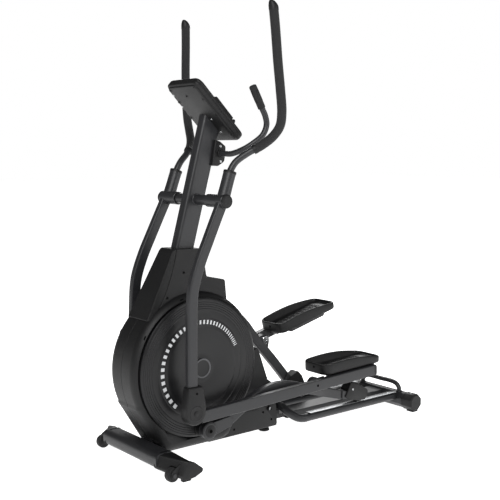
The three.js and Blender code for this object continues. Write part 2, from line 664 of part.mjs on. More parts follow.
function pedalBar() {
  const section = roundedRect(BAR_END - 28, 45, 6);
  const [inner, outer] = [-LEVER_Y + 13, -LEVER_Y - 13];
  const bar = cut(
    slab(section, outer, inner, 0, 2).translate((BAR_END + 28) / 2, 0, 0),
    box(90, BAR_END + 10, outer + 3, inner - 3, -19.5, 19.5),
  ).rotateY(-BAR_LEAN).translate(0, 0, -BAR_DROP);
  const eye = barY(20, outer + 1, inner - 1.4, 0, 0, 16);
  const neck = box(0, 60, outer + 3, inner - 3, -36, 10);
  const lug = slab(strap({ x: BAR_PIVOT, z: 0 }, 20, 24), inner + 0.5, inner + 7);
  const boss = barY(20, inner - 1, -153, BAR_PIVOT, 0, 16);
  const pin = barY(10, -154, -ARM_IN + GAP, BAR_PIVOT, 0, 16);
  const jointPin = barY(8, outer - 4, inner + 1.7, 0, 0, 16);
  return join(bar, eye, neck, lug, boss, pin, jointPin);
}

// Footplate on the pedal bar: a dished tray with a raised rim and a bracket below.
function pedal() {
  const length = 325;
  const front = 667;
  const [inner, outer] = [-36, -184];
  const [x, y] = [front + length / 2, (inner + outer) / 2];
  const width = inner - outer;
  const side = polygon([
    [-6, 38], [8, 70], [60, 75], [195, 73], [length - 2, 50], [length + 3, 38], [length, 24], [0, 24],
  ].reverse());
  const layer = (less, radius, z0, z1) => (
    plate(roundedRect(length + 8 - less, width - less, radius), z0, z1, 4).translate(x, y, 0));
  const block = common(slab(side, outer, inner).translate(front, 0, 0), layer(0, 38, 0, 200));
  const tray = cut(block, layer(14, 32, 38, 200), layer(22, 28, 0, 33));
  const barFace = -LEVER_Y + 13.5;
  const bracket = cut(
    box(front + 40, front + length - 30, barFace, -60, -12, 34),
    box(front + 44, front + length - 34, barFace + 4, -64, -40, 24),
  );
  const barWay = box(0, BAR_END + 40, -LEVER_Y - 16, barFace - GAP, -40, 23.4);
  return cut(join(tray, bracket), barWay).rotateY(-BAR_LEAN).translate(0, 0, -BAR_DROP + 0.5);
}

// A roller arm hangs on the pedal bar's pivot; drawn from its crank eye, +x towards the roller axle.
function rollerArm() {
  const layer = -139;
  const line = [
    [0, layer, 0], [95, layer, 22], [150, layer, 54], [205, layer, 82], [270, layer, 104], [340, layer, 115],
    [410, layer, 107], [490, layer, 84], [600, layer, 50], [640, layer, 38],
  ];
  const front = tube(roundedRect(26, 36, 5, 3), line, 11);
  const tail = slab(polygon([
    [577, 40], [577, 84], [650, 62], [745, 34], [ARM.length, 12], [ARM.length + 12, 0], [ARM.length, -11],
    [745, -4], [650, 19],
  ].reverse()), -131, -95);
  const eye = barY(31, -EYE_OUT, -ARM_IN, 0, 0, 20);
  const washer = barY(15, -EYE_OUT - 3, -EYE_OUT + 1, 0, 0, 16);
  const gusset = slab(polygon([[0, -24], [96, 4], [96, 40], [0, 26]]), -152, -126);
  const lug = slab(strapUp(), -152, -ARM_IN - 3);
  const bore = barY(10.3, -170, -100, ARM.pivotAlong, ARM.pivotAbove, 20);
  const wheelSpace = barY(ROLLER.radius + 4, -ROLLER.y - 15.4, -ROLLER.y + 15.4, ARM.length, 0, 20);
  const drain = box(300, 308, -142, -136, 80, 105);
  return join(cut(join(front, tail, eye, washer, gusset, lug), bore, wheelSpace, drain),
    barY(7, -131, -95, ARM.length, 0, 12));
}

function strapUp() {
  const shape = new THREE.Shape();
  shape.moveTo(ARM.pivotAlong + 42, 66);
  shape.absarc(ARM.pivotAlong, ARM.pivotAbove, 23, 0.2, Math.PI - 0.2, false);
  shape.lineTo(ARM.pivotAlong - 42, 92);
  shape.closePath();
  return shape;
}

function rollerCover() {
  const shell = polygon([
    [-94, 10], [-62, 68], [-28, 62], [42, 22], [44, 4], [26, -22], [-22, -26], [-62, -8],
  ].reverse());
  const inside = polygon([
    [-120, 5], [-60, 62], [-28, 57], [37, 20], [60, 0], [60, -60], [-80, -60],
  ].reverse());
  const body = cut(slab(shell, -137, -89), slab(inside, -134, -92));
  return cut(body, box(-100, 40, -133, -93, -60, 0).translate(0, 0, 5)).translate(ARM.length, 0, 0);
}

function rollerWheel() {
  const half = ROLLER.width / 2;
  const profile = [
    [7.3, -half + 3], [12, -half], [ROLLER.radius - 3, -half], [ROLLER.radius, -half + 3],
    [ROLLER.radius, half - 3], [ROLLER.radius - 3, half], [12, half], [7.3, half - 3], [7.3, -half + 3],
  ];
  return new THREE.LatheGeometry(profile.map(([r, y]) => new THREE.Vector2(r, y)), 28)
    .translate(ARM.length, -ROLLER.y, 0);
}

// One side of the machine, as groups nested like the links; the right side is the mirrored copy.
function addSide(suffix, crankAngle, hand) {
  const pose = linkage(crankAngle);
  const group = (parent, x, z, angle) => {
    const link = new THREE.Group();
    link.position.set(x, 0, z);
    link.rotation.y = -angle;
    parent.add(link);
    return link;
  };
  const leverGroup = group(trainer, SWING_AXLE.x, SWING_AXLE.z, pose.leverAngle);
  add(`lever_${suffix}`, hand(lever()), PAINT, leverGroup);
  add(`lever_cover_${suffix}`, hand(leverCover()), PLASTIC, leverGroup);
  add(`handle_${suffix}`, hand(handleTube()), PAINT, leverGroup);
  add(`grip_${suffix}`, hand(handleGrip()), RUBBER, leverGroup);
  const barGroup = group(leverGroup, LEVER_JOINT.x, LEVER_JOINT.z, pose.barAngle - pose.leverAngle);
  add(`pedal_bar_${suffix}`, hand(pedalBar()), PAINT, barGroup);
  add(`pedal_${suffix}`, hand(pedal()), PLASTIC, barGroup);
  const pivotGroup = group(barGroup, BAR_PIVOT, 0, pose.armAngle - pose.barAngle);
  const armGroup = group(pivotGroup, -ARM.pivotAlong, -ARM.pivotAbove, 0);
  add(`roller_arm_${suffix}`, hand(rollerArm()), PAINT, armGroup);
  add(`roller_cover_${suffix}`, hand(rollerCover()), PLASTIC, armGroup);
  add(`roller_${suffix}`, hand(rollerWheel()), RUBBER, armGroup);
}

// ---------------------------------------------------------------- assembly
add('main_frame', mainFrame(), PAINT);
add('rail_frame', railFrame(), PAINT);
addPair('rail', rail(), ALUMINIUM);
add('mast', mast(), PAINT);
add('front_bar', frontBar(), PAINT);
add('rear_bar', rearBar(), PAINT);
addPair('front_cap', frontCap(), PLASTIC);
addPair('rear_cap', rearCap(), PLASTIC);
addPair('transport_wheel', pipeY(FRONT_WHEEL.radius, 6.2, -FRONT_WHEEL.y - FRONT_WHEEL.half,
  -FRONT_WHEEL.y + FRONT_WHEEL.half, FRONT_WHEEL.x, FRONT_WHEEL.z, 28), RUBBER);
add('lift_handle', liftHandle(), PAINT);
add('centre_foot', centreFoot(), RUBBER);

const leftHousing = housingHalf();
addPair('housing', leftHousing, PLASTIC);
add('nose_cover', common(boot(), noseSide(24)), PLASTIC);
add('boot_cover', cut(boot(), noseSide(24 + GAP)), PLASTIC);

addPair('crank_disc', discCover(), DISC_PLASTIC);
add('crank_axle', crankAxle(), STEEL);
add('crank_pin_left', crankPin(), PLASTIC);
add('crank_pin_right', mirrored(crankPin()).translate(0, 0, 2 * CRANK.radius), PLASTIC);
add('drive_pulley', drivePulley(), PLASTIC);
add('flywheel', flywheel(), STEEL);
add('drive_belt', belt(), RUBBER);
add('magnet_bracket', magnetBracket(), STEEL);
add('servo_motor', box(40, 96, -46, -12, BEAM.high + 1, BEAM.high + 42), PLASTIC);
add('power_inlet', barY(9, -TAIL_HALF - 8, -TAIL_HALF - GAP, 360, 120, 16), PLASTIC);

const axleHead = barY(26, -SLEEVE_END - 8, -SLEEVE_END - GAP, SWING_AXLE.x, SWING_AXLE.z, 24);
const axleRod = barY(10, -SLEEVE_END - 3, SLEEVE_END + 3, SWING_AXLE.x, SWING_AXLE.z, 20);
add('swing_axle', join(axleRod, axleHead, mirrored(axleHead)), STEEL);

add('console_back', consoleBack(), PLASTIC);
add('console_front', consoleFront(), PLASTIC);
add('console_display', consoleDisplay(), GLASS);
KEYS.forEach(({ name, y }) => add(name, consoleKey(y), KEY));
add('pulse_bar', pulseBar(), PAINT);
addPair('pulse_grip', pulseGrip(), RUBBER);
add('bar_clamp', barClamp(), PLASTIC);

addSide('left', -Math.PI / 2, (geometry) => geometry);
addSide('right', Math.PI / 2, mirrored);

trainer.position.x = -(FRONT_END + REAR_END) / 2;

export default trainer;
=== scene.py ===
"""Elliptical trainer: the visual pieces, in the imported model's frame.

Blender works in metres; the drawing sizes below are in millimetres, with x = 0 on the crank axis,
+X towards the user's end, -Y the left side and z = 0 on the floor.
"""

from math import acos, atan2, cos, hypot, pi, radians, sin, sqrt, tan

import bmesh
import bpy
from mathutils import Matrix, Vector


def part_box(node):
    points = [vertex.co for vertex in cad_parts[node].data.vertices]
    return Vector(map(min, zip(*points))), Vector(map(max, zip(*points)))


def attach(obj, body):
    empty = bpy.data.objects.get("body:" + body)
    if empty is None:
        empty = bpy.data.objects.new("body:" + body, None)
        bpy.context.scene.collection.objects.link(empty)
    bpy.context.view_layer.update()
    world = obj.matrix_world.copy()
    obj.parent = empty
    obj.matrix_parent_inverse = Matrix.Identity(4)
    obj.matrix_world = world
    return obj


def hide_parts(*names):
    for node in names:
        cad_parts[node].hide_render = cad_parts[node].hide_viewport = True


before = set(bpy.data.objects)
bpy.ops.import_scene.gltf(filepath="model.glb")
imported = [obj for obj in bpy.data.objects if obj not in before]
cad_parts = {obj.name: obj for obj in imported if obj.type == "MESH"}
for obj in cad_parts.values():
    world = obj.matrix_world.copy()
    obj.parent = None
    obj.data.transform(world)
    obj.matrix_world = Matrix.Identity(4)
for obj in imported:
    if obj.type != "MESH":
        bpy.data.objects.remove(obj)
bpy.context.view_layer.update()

# ---- driving dimensions, mm
MM, WELD = 0.001, 2e-6                      # metres
CRANK_Z, CRANK_R = 347, 230
AXLE = Vector((43, 0, 972))                 # swing axle
LEVER_JOINT = Vector((-136, 0, -762))       # lower joint seen from the swing axle
BAR_PIVOT = 635.4                           # lower joint to roller arm pivot
ARM_LENGTH, ARM_ALONG, ARM_ABOVE = 823, 541, 103
ROLLER_Y, ROLLER_Z = 113, 105
RAIL_LENGTH, RAIL_MIDDLE = 528, 798
RAIL_FACE, RAIL_TOP = 79.3, 80.3
DRUM_R, DISC_R, DISC_HOLE_R = 284.2, 262, 266
DRUM_HALF, DISC_FACE, TAIL_HALF = 94, 105, 72
DRUM_ROUND, DRUM_STEPS = 40, 240            # rounding of the drum's outer edge, points round it
HOUSING_LOW, CLIP_R = 40, 272
LEVER_Y = 182
SLEEVE_END = 205
MAST_TILT = 0.268
CONSOLE = Vector((84, 0, 1291))
FRONT_BAR = Vector((-218, 0, 60))
REAR_BAR = Vector((1097, 0, 42))
LIFT_X = 1094                               # plane of the lift handle
WHEEL = Vector((-228, -240, 25.3))
BAR_LEAN, BAR_DROP, BAR_END = atan2(22.7, BAR_PIVOT), 22, 943

low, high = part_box("crank_axle")
CRANK_X = (low[0] + high[0]) / 2
BASE = Matrix.Translation((CRANK_X, 0, 0)) @ Matrix.Scale(MM, 4)
MIRROR = Matrix.Scale(-1, 4, (0, 1, 0))
SIDES = {"left": Matrix.Identity(4), "right": MIRROR}
CRANK_ANGLE = {"left": -pi / 2, "right": pi / 2}


# ---- camera, light and floor
CAMERA_AT, CAMERA_PITCH, CAMERA_HEADING = Vector((-1938, -2792, 1150)), 83.8, -38.94
LAMPS = (("key", (-2.6, -2.4, 3.2), (0, 0, 0.6), 2.0, 120),
         ("fill", (1.8, -3.4, 1.8), (0, 0, 0.7), 2.2, 45),
         ("rim", (2.2, 2.4, 2.6), (0, 0, 0.9), 2.0, 90))
WHITE = (1, 1, 1, 1)
GLOW, BACKDROP = 0.14, 1.0                  # world strength for lighting, and as the camera sees it
FLOOR_REACH, FLOOR_DROP = 30, 0.0005
GLOSS_SPREAD, GRAIN_DEPTH = 0.07, 0.0006


def add_object(name, data):
    made = bpy.data.objects.new(name, data)
    bpy.context.scene.collection.objects.link(made)
    return made


def put(node, values):
    """Sets sockets of a node to fixed values."""
    for socket, value in values.items():
        node.inputs[socket].default_value = value


def add_camera():
    data = bpy.data.cameras.new("camera")
    data.lens = 65.0
    data.sensor_width = 36.0
    camera = add_object("camera", data)
    camera.location = BASE @ CAMERA_AT
    camera.rotation_euler = (radians(CAMERA_PITCH), 0, radians(CAMERA_HEADING))
    bpy.context.scene.camera = camera


def add_light(name, place, aim, size, power):
    data = bpy.data.lights.new(name, "AREA")
    data.shape = "DISK"
    data.size = size
    data.energy = power
    lamp = add_object(name, data)
    lamp.location = place
    lamp.rotation_euler = (Vector(aim) - Vector(place)).to_track_quat("-Z", "Y").to_euler()


def add_studio():
    world = bpy.data.worlds.new("studio")
    world.use_nodes = True
    nodes, links = world.node_tree.nodes, world.node_tree.links
    glow = nodes["Background"]
    put(glow, {"Color": WHITE, "Strength": GLOW})
    backdrop = nodes.new("ShaderNodeBackground")
    put(backdrop, {"Color": WHITE, "Strength": BACKDROP})
    eye = nodes.new("ShaderNodeLightPath")
    choose = nodes.new("ShaderNodeMixShader")
    links.new(eye.outputs["Is Camera Ray"], choose.inputs["Fac"])
    links.new(glow.outputs["Background"], choose.inputs[1])
    links.new(backdrop.outputs["Background"], choose.inputs[2])
    links.new(choose.outputs["Shader"], nodes["World Output"].inputs["Surface"])
    bpy.context.scene.world = world
    bpy.context.scene.view_settings.view_transform = "Standard"
    for name, place, aim, size, power in LAMPS:
        add_light(name, place, aim, size, power)
    mesh = bpy.data.meshes.new("floor")
    corners = [(x * FLOOR_REACH, y * FLOOR_REACH, 0) for x, y in ((-1, -1), (1, -1), (1, 1), (-1, 1))]
    mesh.from_pydata(corners, [], [(0, 1, 2, 3)])
    floor = add_object("floor", mesh)
    floor.location.z = -FLOOR_DROP
    white = look("floor", (0.93, 0.93, 0.93), 0.7, mottle=0.01, grain=60, bump=0.02)
    put(white.node_tree.nodes["Principled BSDF"], {"Emission Color": WHITE, "Emission Strength": 1.0})
    floor.data.materials.append(white)


# ---- materials
def look(name, colour, rough, metal=0.0, mottle=0.12, grain=900, bump=0.15, cells=False,
         stretch=(1, 1, 1), coat=0.0, sheen=0.0, patch=14, shine=0.3):
    """A procedural finish: slow patches in colour and gloss, and a fine grain as bump."""
    material = bpy.data.materials.new(name)
    material.use_nodes = True
    nodes, links = material.node_tree.nodes, material.node_tree.links
    shader = nodes["Principled BSDF"]
    put(shader, {"Metallic": metal, "Specular IOR Level": shine, "Coat Weight": coat,
                 "Coat Roughness": 0.25, "Sheen Weight": sheen})
    coords = nodes.new("ShaderNodeTexCoord")
    mapping = nodes.new("ShaderNodeMapping")
    put(mapping, {"Scale": stretch})
    links.new(coords.outputs["Object"], mapping.inputs["Vector"])

    patches = nodes.new("ShaderNodeTexNoise")
    put(patches, {"Scale": patch, "Detail": 5, "Roughness": 0.65})
    links.new(mapping.outputs["Vector"], patches.inputs["Vector"])
    ramp = nodes.new("ShaderNodeValToRGB")
    ramp.color_ramp.elements[0].position = 0.3
    ramp.color_ramp.elements[1].position = 0.7
    ramp.color_ramp.elements[0].color = (*[c * (1 - mottle) for c in colour], 1)
    ramp.color_ramp.elements[1].color = (*[min(1, c * (1 + mottle)) for c in colour], 1)
    links.new(patches.outputs["Fac"], ramp.inputs["Fac"])
    links.new(ramp.outputs["Color"], shader.inputs["Base Color"])
    gloss = nodes.new("ShaderNodeMapRange")
    put(gloss, {"To Min": max(0.03, rough - GLOSS_SPREAD), "To Max": min(1, rough + GLOSS_SPREAD)})
    links.new(patches.outputs["Fac"], gloss.inputs["Value"])
    links.new(gloss.outputs["Result"], shader.inputs["Roughness"])

    fine = nodes.new("ShaderNodeTexVoronoi" if cells else "ShaderNodeTexNoise")
    put(fine, {"Scale": grain})
    links.new(mapping.outputs["Vector"], fine.inputs["Vector"])
    relief = nodes.new("ShaderNodeBump")
    put(relief, {"Strength": bump, "Distance": GRAIN_DEPTH})
    links.new(fine.outputs["Distance" if cells else "Fac"], relief.inputs["Height"])
    links.new(relief.outputs["Normal"], shader.inputs["Normal"])
    return material


LOOKS = {
    "paint": look("powder_coat", (0.017, 0.0173, 0.019), 0.42, grain=700, bump=0.10, shine=0.4),
    "plastic": look("moulded_plastic", (0.0050, 0.0050, 0.0053), 0.50, grain=1100, bump=0.22, cells=True),
    "disc": look("satin_plastic", (0.0056, 0.0056, 0.0062), 0.38, grain=1400, bump=0.08, cells=True, patch=5),
    "rubber": look("foam_rubber", (0.012, 0.012, 0.0125), 0.80, grain=1600, bump=0.5, sheen=0.08),
    "tread": look("tread_rubber", (0.0055, 0.0055, 0.006), 0.75, grain=900, bump=0.4, cells=True),
    "aluminium": look("extruded_aluminium", (0.40, 0.41, 0.42), 0.40, metal=0.9, grain=500, bump=0.12,
                      stretch=(0.04, 1, 1), mottle=0.08),
    "steel": look("turned_steel", (0.50, 0.51, 0.52), 0.30, metal=1.0, grain=600, bump=0.08),
    "chrome": look("plated_steel", (0.72, 0.73, 0.74), 0.14, metal=1.0, grain=300, bump=0.03, mottle=0.05),
    "dark": look("shadow_recess", (0.0010, 0.0010, 0.0010), 0.85, grain=800, bump=0.1, shine=0.05),
    "hub": look("grey_plastic", (0.075, 0.076, 0.08), 0.42, grain=1200, bump=0.08, cells=True),
    "ink": look("printed_grey", (0.55, 0.56, 0.57), 0.55, grain=1500, bump=0.05, mottle=0.06),
    "screen": look("display_glass", (0.012, 0.014, 0.016), 0.10, grain=40, bump=0.01, coat=0.6),
    "key": look("soft_keys", (0.10, 0.105, 0.11), 0.65, grain=1200, bump=0.2),
}


# ---- geometry, in mm: (points, faces)
def merge(*shapes):
    points, faces = [], []
    for more, loops in shapes:
        start = len(points)
        points += more
        faces += [[start + i for i in loop] for loop in loops]
    return points, faces


def moved(shape, matrix):
    return [matrix @ Vector(p) for p in shape[0]], shape[1]


def loft(loops, ring=False):
    """Joins closed loops of equal length; capped at both ends unless the last meets the first."""
    count, size = len(loops), len(loops[0])
    points = [Vector(p) for loop in loops for p in loop]
    faces = []
    for i in range(count if ring else count - 1):
        a, b = i * size, ((i + 1) % count) * size
        for j in range(size):
            k = (j + 1) % size
            faces.append([a + j, a + k, b + k, b + j])
    if not ring:
        faces.append(list(range(size))[::-1])
        faces.append([(count - 1) * size + j for j in range(size)])
    return points, faces


def prism(outline, y0, y1):
    return loft([[(x, y, z) for x, z in outline] for y in (y0, y1)])


def revolve(profile, x=0.0, z=0.0, steps=72, ring=True):
    """Turns a profile of (radius, y) about an axis across the machine."""
    return loft([[(x + a, y, z + b) for a, b in disc_section(r, steps)] for r, y in profile], ring)


def barrel(radius, y0, y1, x=0.0, z=0.0, chamfer=1.5, steps=48):
    """A round bar across the machine with chamfered ends."""
    profile = [(radius - chamfer, y0), (radius, y0 + chamfer), (radius, y1 - chamfer),
               (radius - chamfer, y1)]
    return revolve(profile, x, z, steps, ring=False)


def collar(outer, inner, y0, y1, x=0.0, z=0.0, chamfer=1.0, steps=64):
    profile = [(inner, y0), (outer - chamfer, y0), (outer, y0 + chamfer), (outer, y1 - chamfer),
               (outer - chamfer, y1), (inner, y1)]
    return revolve(profile, x, z, steps)


def arc(radius, start, end, steps, x=0.0, z=0.0):
    turn = [start + (end - start) * i / steps for i in range(steps + 1)]
    return [(x + radius * cos(a), z + radius * sin(a)) for a in turn]


def rounded(corners, radius, steps=6):
    """The polygon with its corners rounded; radius is one number or one for each corner."""
    count = len(corners)
    radii = radius if isinstance(radius, (list, tuple)) else [radius] * count
    outline = []
    for i, corner in enumerate(corners):
        here, before, after = Vector(corner), Vector(corners[i - 1]), Vector(corners[(i + 1) % count])
        back, on = before - here, after - here
        half = back.angle(on) / 2
        reach = min(radii[i] / max(tan(half), 1e-3), 0.48 * back.length, 0.48 * on.length)
        if reach < 0.05:
            outline.append(tuple(here))
            continue
        a, b = here + back.normalized() * reach, here + on.normalized() * reach
        for k in range(steps + 1):
            t = k / steps
            outline.append(tuple(a * (1 - t) ** 2 + here * 2 * t * (1 - t) + b * t ** 2))
    return outline


def rect(width, height, radius, steps=6):
    w, h = width / 2, height / 2
    return rounded([(-w, -h), (w, -h), (w, h), (-w, h)], radius, steps)


def disc_section(radius, steps=32):
    return arc(radius, 0, 2 * pi * (steps - 1) / steps, steps - 1)


def smooth_line(knots, steps=8):
    """A centripetal curve through the knots."""
    knots = [Vector(k) for k in knots]
    knots = [2 * knots[0] - knots[1], *knots, 2 * knots[-1] - knots[-2]]
    line = []
    for i in range(len(knots) - 3):
        p = knots[i:i + 4]
        t = [0.0]
        for a, b in zip(p, p[1:]):
            t.append(t[-1] + max((b - a).length, 1e-6) ** 0.5)
        for k in range(steps):
            s = t[1] + (t[2] - t[1]) * k / steps
            layer = list(p)
            for width in (1, 2):
                layer = [layer[j].lerp(layer[j + 1], (s - t[j]) / (t[j + width] - t[j]))
                         for j in range(len(layer) - 1)]
            line.append(layer[0].lerp(layer[1], (s - t[1]) / (t[2] - t[1])))
    line.append(knots[-2])
    return line


def cut_line(line, start, end):
    """The part of a line between two fractions of its length."""
    lengths = [0.0]
    for a, b in zip(line, line[1:]):
        lengths.append(lengths[-1] + (b - a).length)
    whole = lengths[-1]

    def at(share):
        reach = share * whole
        for i, (a, b) in enumerate(zip(lengths, lengths[1:])):
            if reach <= b or i == len(lengths) - 2:
                return line[i].lerp(line[i + 1], (reach - a) / (b - a))

    inside = [p for p, d in zip(line, lengths) if start * whole + 1 < d < end * whole - 1]
    return [at(start), *inside, at(end)]


def sweep(line, section, side=(0, 1, 0), scale=None):
    """Carries a section along a line; section x lies along side, section y square to both."""
    line = [Vector(p) for p in line]
    reference = Vector(side)
    loops = []
    for i, point in enumerate(line):
        ahead = (line[min(i + 1, len(line) - 1)] - line[max(i - 1, 0)]).normalized()
        reference = (reference - ahead * reference.dot(ahead)).normalized()
        up = ahead.cross(reference)
        k = scale[i] if scale else 1.0
        loops.append([point + reference * a * k + up * b * k for a, b in section])
    return loft(loops)


def screw(at, axis, radius, height, recess=True):
    """A pan-head screw standing on a face, with a round recess."""
    dome = [(radius, 0), (radius, height * 0.45), (radius * 0.82, height * 0.85), (radius * 0.5, height)]
    if recess:
        dome += [(radius * 0.42, height), (radius * 0.40, height * 0.35)]
    loops = [[(a, b, lift) for a, b in disc_section(r, 36)] for r, lift in dome]
    turn = Vector((0, 0, 1)).rotation_difference(Vector(axis).normalized()).to_matrix().to_4x4()
    return moved(loft(loops), Matrix.Translation(Vector(at)) @ turn)


def build_mesh(name, shape, matrix):
    """A mesh with its points welded and its faces turned outwards."""
    mesh = bpy.data.meshes.new(name)
    mesh.from_pydata([matrix @ Vector(p) for p in shape[0]], [], shape[1])
    work = bmesh.new()
    work.from_mesh(mesh)
    bmesh.ops.remove_doubles(work, verts=work.verts, dist=WELD)
    bmesh.ops.recalc_face_normals(work, faces=work.faces)
    work.to_mesh(mesh)
    work.free()
    return mesh


def piece(name, shape, finish, body="frame", place=BASE, bevel=0.0, steps=3, replaces=(), crease=34,
          soft=False):
    """Makes one object from a shape, gives it a finish and lets it ride on a body."""
    mesh = build_mesh(name, shape, place)
    mesh.shade_smooth()
    if not soft:
        mesh.set_sharp_from_angle(angle=radians(crease))
    mesh.materials.append(LOOKS[finish])
    made = add_object(name, mesh)
    if bevel:
        edge = made.modifiers.new("edges", "BEVEL")
        edge.width = bevel * MM
        edge.segments = steps
        edge.limit_method = "ANGLE"
        edge.angle_limit = radians(crease)
        edge.harden_normals = True
        edge.use_clamp_overlap = True
    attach(made, body)
    if replaces:
        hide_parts(*replaces)
    return made


def fitter(side, place, body="frame"):
    """Returns piece() for one place and body; {} in a name stands for the side."""
    def fit(name, shape, finish, replaces=(), **options):
        nodes = [node.format(side) for node in replaces]
        return piece(name.format(side), shape, finish, body, place=place, replaces=nodes, **options)
    return fit


def pair(name, shape, finish, body="frame", **options):
    """Makes a piece on the left and its mirror image on the right."""
    return [fitter(side, BASE @ hand, body.format(side))(name, shape, finish, **options)
            for side, hand in SIDES.items()]


# ---- linkage at rest
def turned(x, z, angle):
    return Vector((x * cos(angle) - z * sin(angle), 0, x * sin(angle) + z * cos(angle)))


def heading(a, b):
    return atan2(b.z - a.z, b.x - a.x)


def link(at, angle):
    return Matrix.Translation(at) @ Matrix.Rotation(-angle, 4, "Y")


def linkage(crank_angle):
    """Places of lever, pedal bar and roller arm when a side's crank pin is at that angle."""
    pin = Vector((0, 0, CRANK_Z)) + turned(CRANK_R, 0, crank_angle)
    drop = pin.z - ROLLER_Z
    roller = Vector((pin.x + sqrt(ARM_LENGTH ** 2 - drop ** 2), 0, ROLLER_Z))
    arm = heading(pin, roller)
    pivot = pin + turned(ARM_ALONG, ARM_ABOVE, arm)
    span = (pivot - AXLE).length
    reach = LEVER_JOINT.length
    corner = acos((reach ** 2 + span ** 2 - BAR_PIVOT ** 2) / (2 * reach * span))
    down = heading(AXLE, pivot) - corner
    joint = AXLE + turned(reach, 0, down)
    lever = down - atan2(LEVER_JOINT.z, LEVER_JOINT.x)
    return {"lever": link(AXLE, lever), "bar": link(joint, heading(joint, pivot)), "arm": link(pin, arm)}


# ---- frame
def plate(outline, z0, z1):
    return loft([[(x, y, z) for x, y in outline] for z in (z0, z1)])


def shrunk(outline, inset):
    """The outline drawn in towards its middle by about that much."""
    middle = Vector((sum(p[0] for p in outline), sum(p[1] for p in outline))) / len(outline)
    drawn = []
    for point in outline:
        arm = Vector(point) - middle
        drawn.append(tuple(middle + arm * max(0.0, 1 - inset / arm.length)))
    return drawn


def across(half, middle):
    """A line from the left side through the middle to the right side."""
    return [*half, middle, *[(x, -y, z) for x, y, z in reversed(half)]]


def add_frame():
    front_beam = sweep([(-176, 0, 72), (452, 0, 72)], rect(60, 40, 5))
    saddle = prism([(-176, 52), (-150, 52), (-150, 58), (-176, 58)], -90, 90)
    rear_beam = prism([(484, 46), (1062, 46), (1062, 73), (518, 73)], -40, 40)
    link_beam = prism([(440, 50), (520, 50), (520, 68), (440, 68)], -26, 26)
    piece("beams", merge(front_beam, saddle, rear_beam, link_beam), "paint", bevel=2.5,
          replaces=["main_frame"])
    pair("saddle_screw_{}", screw((-163, -72, 58), (0, 0, 1), 9, 5), "chrome")

    half = [(1063, -113, 60), (900, -113, 60), (700, -113, 60), (536, -113, 60), (512, -113, 60),
            (486, -104, 65), (459, -80, 84), (444, -44, 109)]
    line = smooth_line(across(half, (441, 0, 111.5)), 7)
    piece("rail_tube", sweep(line, disc_section(17)), "paint", replaces=["rail_frame"], soft=True)

    def strip(trim, width, radius, shift, z0, z1):
        plan = rect(RAIL_LENGTH - trim, width, radius)
        return plate([(x + RAIL_MIDDLE, y - ROLLER_Y + shift) for x, y in plan], z0, z1)

    base = strip(0, 34, 9, 0, 77.3, RAIL_FACE)
    pair("rail_{}_base", base, "paint", bevel=0.4, steps=2, replaces=["rail_{}"])
    lands = merge(strip(3, 13, 1, -9, RAIL_FACE, RAIL_TOP), strip(3, 3, 1, 3, RAIL_FACE, RAIL_TOP))
    pair("rail_{}_strip", lands, "aluminium", bevel=0.3, steps=2)
    for x in (575, 1020):
        pair("rail_{}_screw_" + str(x), screw((x, -ROLLER_Y, RAIL_FACE), (0, 0, 1), 4.5, 1.2), "steel")


def add_rear_bar():
    eighth = pi / 8
    octagon = [(cos(eighth * (2 * k + 1)), sin(eighth * (2 * k + 1))) for k in range(8)]

    def section(flat, radius):
        return rounded([(x * flat / cos(eighth), z * flat / cos(eighth)) for x, z in octagon], radius)

    x, z = REAR_BAR.x, REAR_BAR.z
    piece("rear_tube", sweep([(x, -168, z), (x, 168, z)], section(33, 5), side=(1, 0, 0)), "paint",
          replaces=["rear_bar"])
    ends = [(x, y, z) for y in (-151, -154, -200, -208, -212)]
    body = sweep(ends, section(36.2, 7), side=(1, 0, 0), scale=[0.97, 1, 1, 0.96, 0.86])
    rib = sweep([(x, -158, z), (x, -164, z)], section(36.25, 7), side=(1, 0, 0))
    pad = prism(rounded([(x - 18, 0), (x + 18, 0), (x + 15, 12), (x - 15, 12)], 2), -206, -170)
    pair("rear_cap_{}_shell", merge(body, rib, pad), "plastic", bevel=0.8, replaces=["rear_cap_{}"])
    pair("rear_cap_{}_screw", screw((x, -180, z + 36.2), (0, 0, 1), 5, 2), "steel")
    half = [(LIFT_X, -112, 76), (LIFT_X, -111, 90), (LIFT_X, -97, 106), (LIFT_X, -70, 113)]
    bar = smooth_line(across(half, (LIFT_X, 0, 113)), 8)
    plates = [collar_up(LIFT_X, y, 75, 14, 3) for y in (-112, 112)]
    piece("lift_bar", merge(sweep(bar, disc_section(10)), *plates), "paint", replaces=["lift_handle"])


def collar_up(x, y, z, radius, height):
    """A flat round weld flange on an upward face."""
    outline = [(x + a, y + b) for a, b in disc_section(radius, 40)]
    return plate(outline, z, z + height)


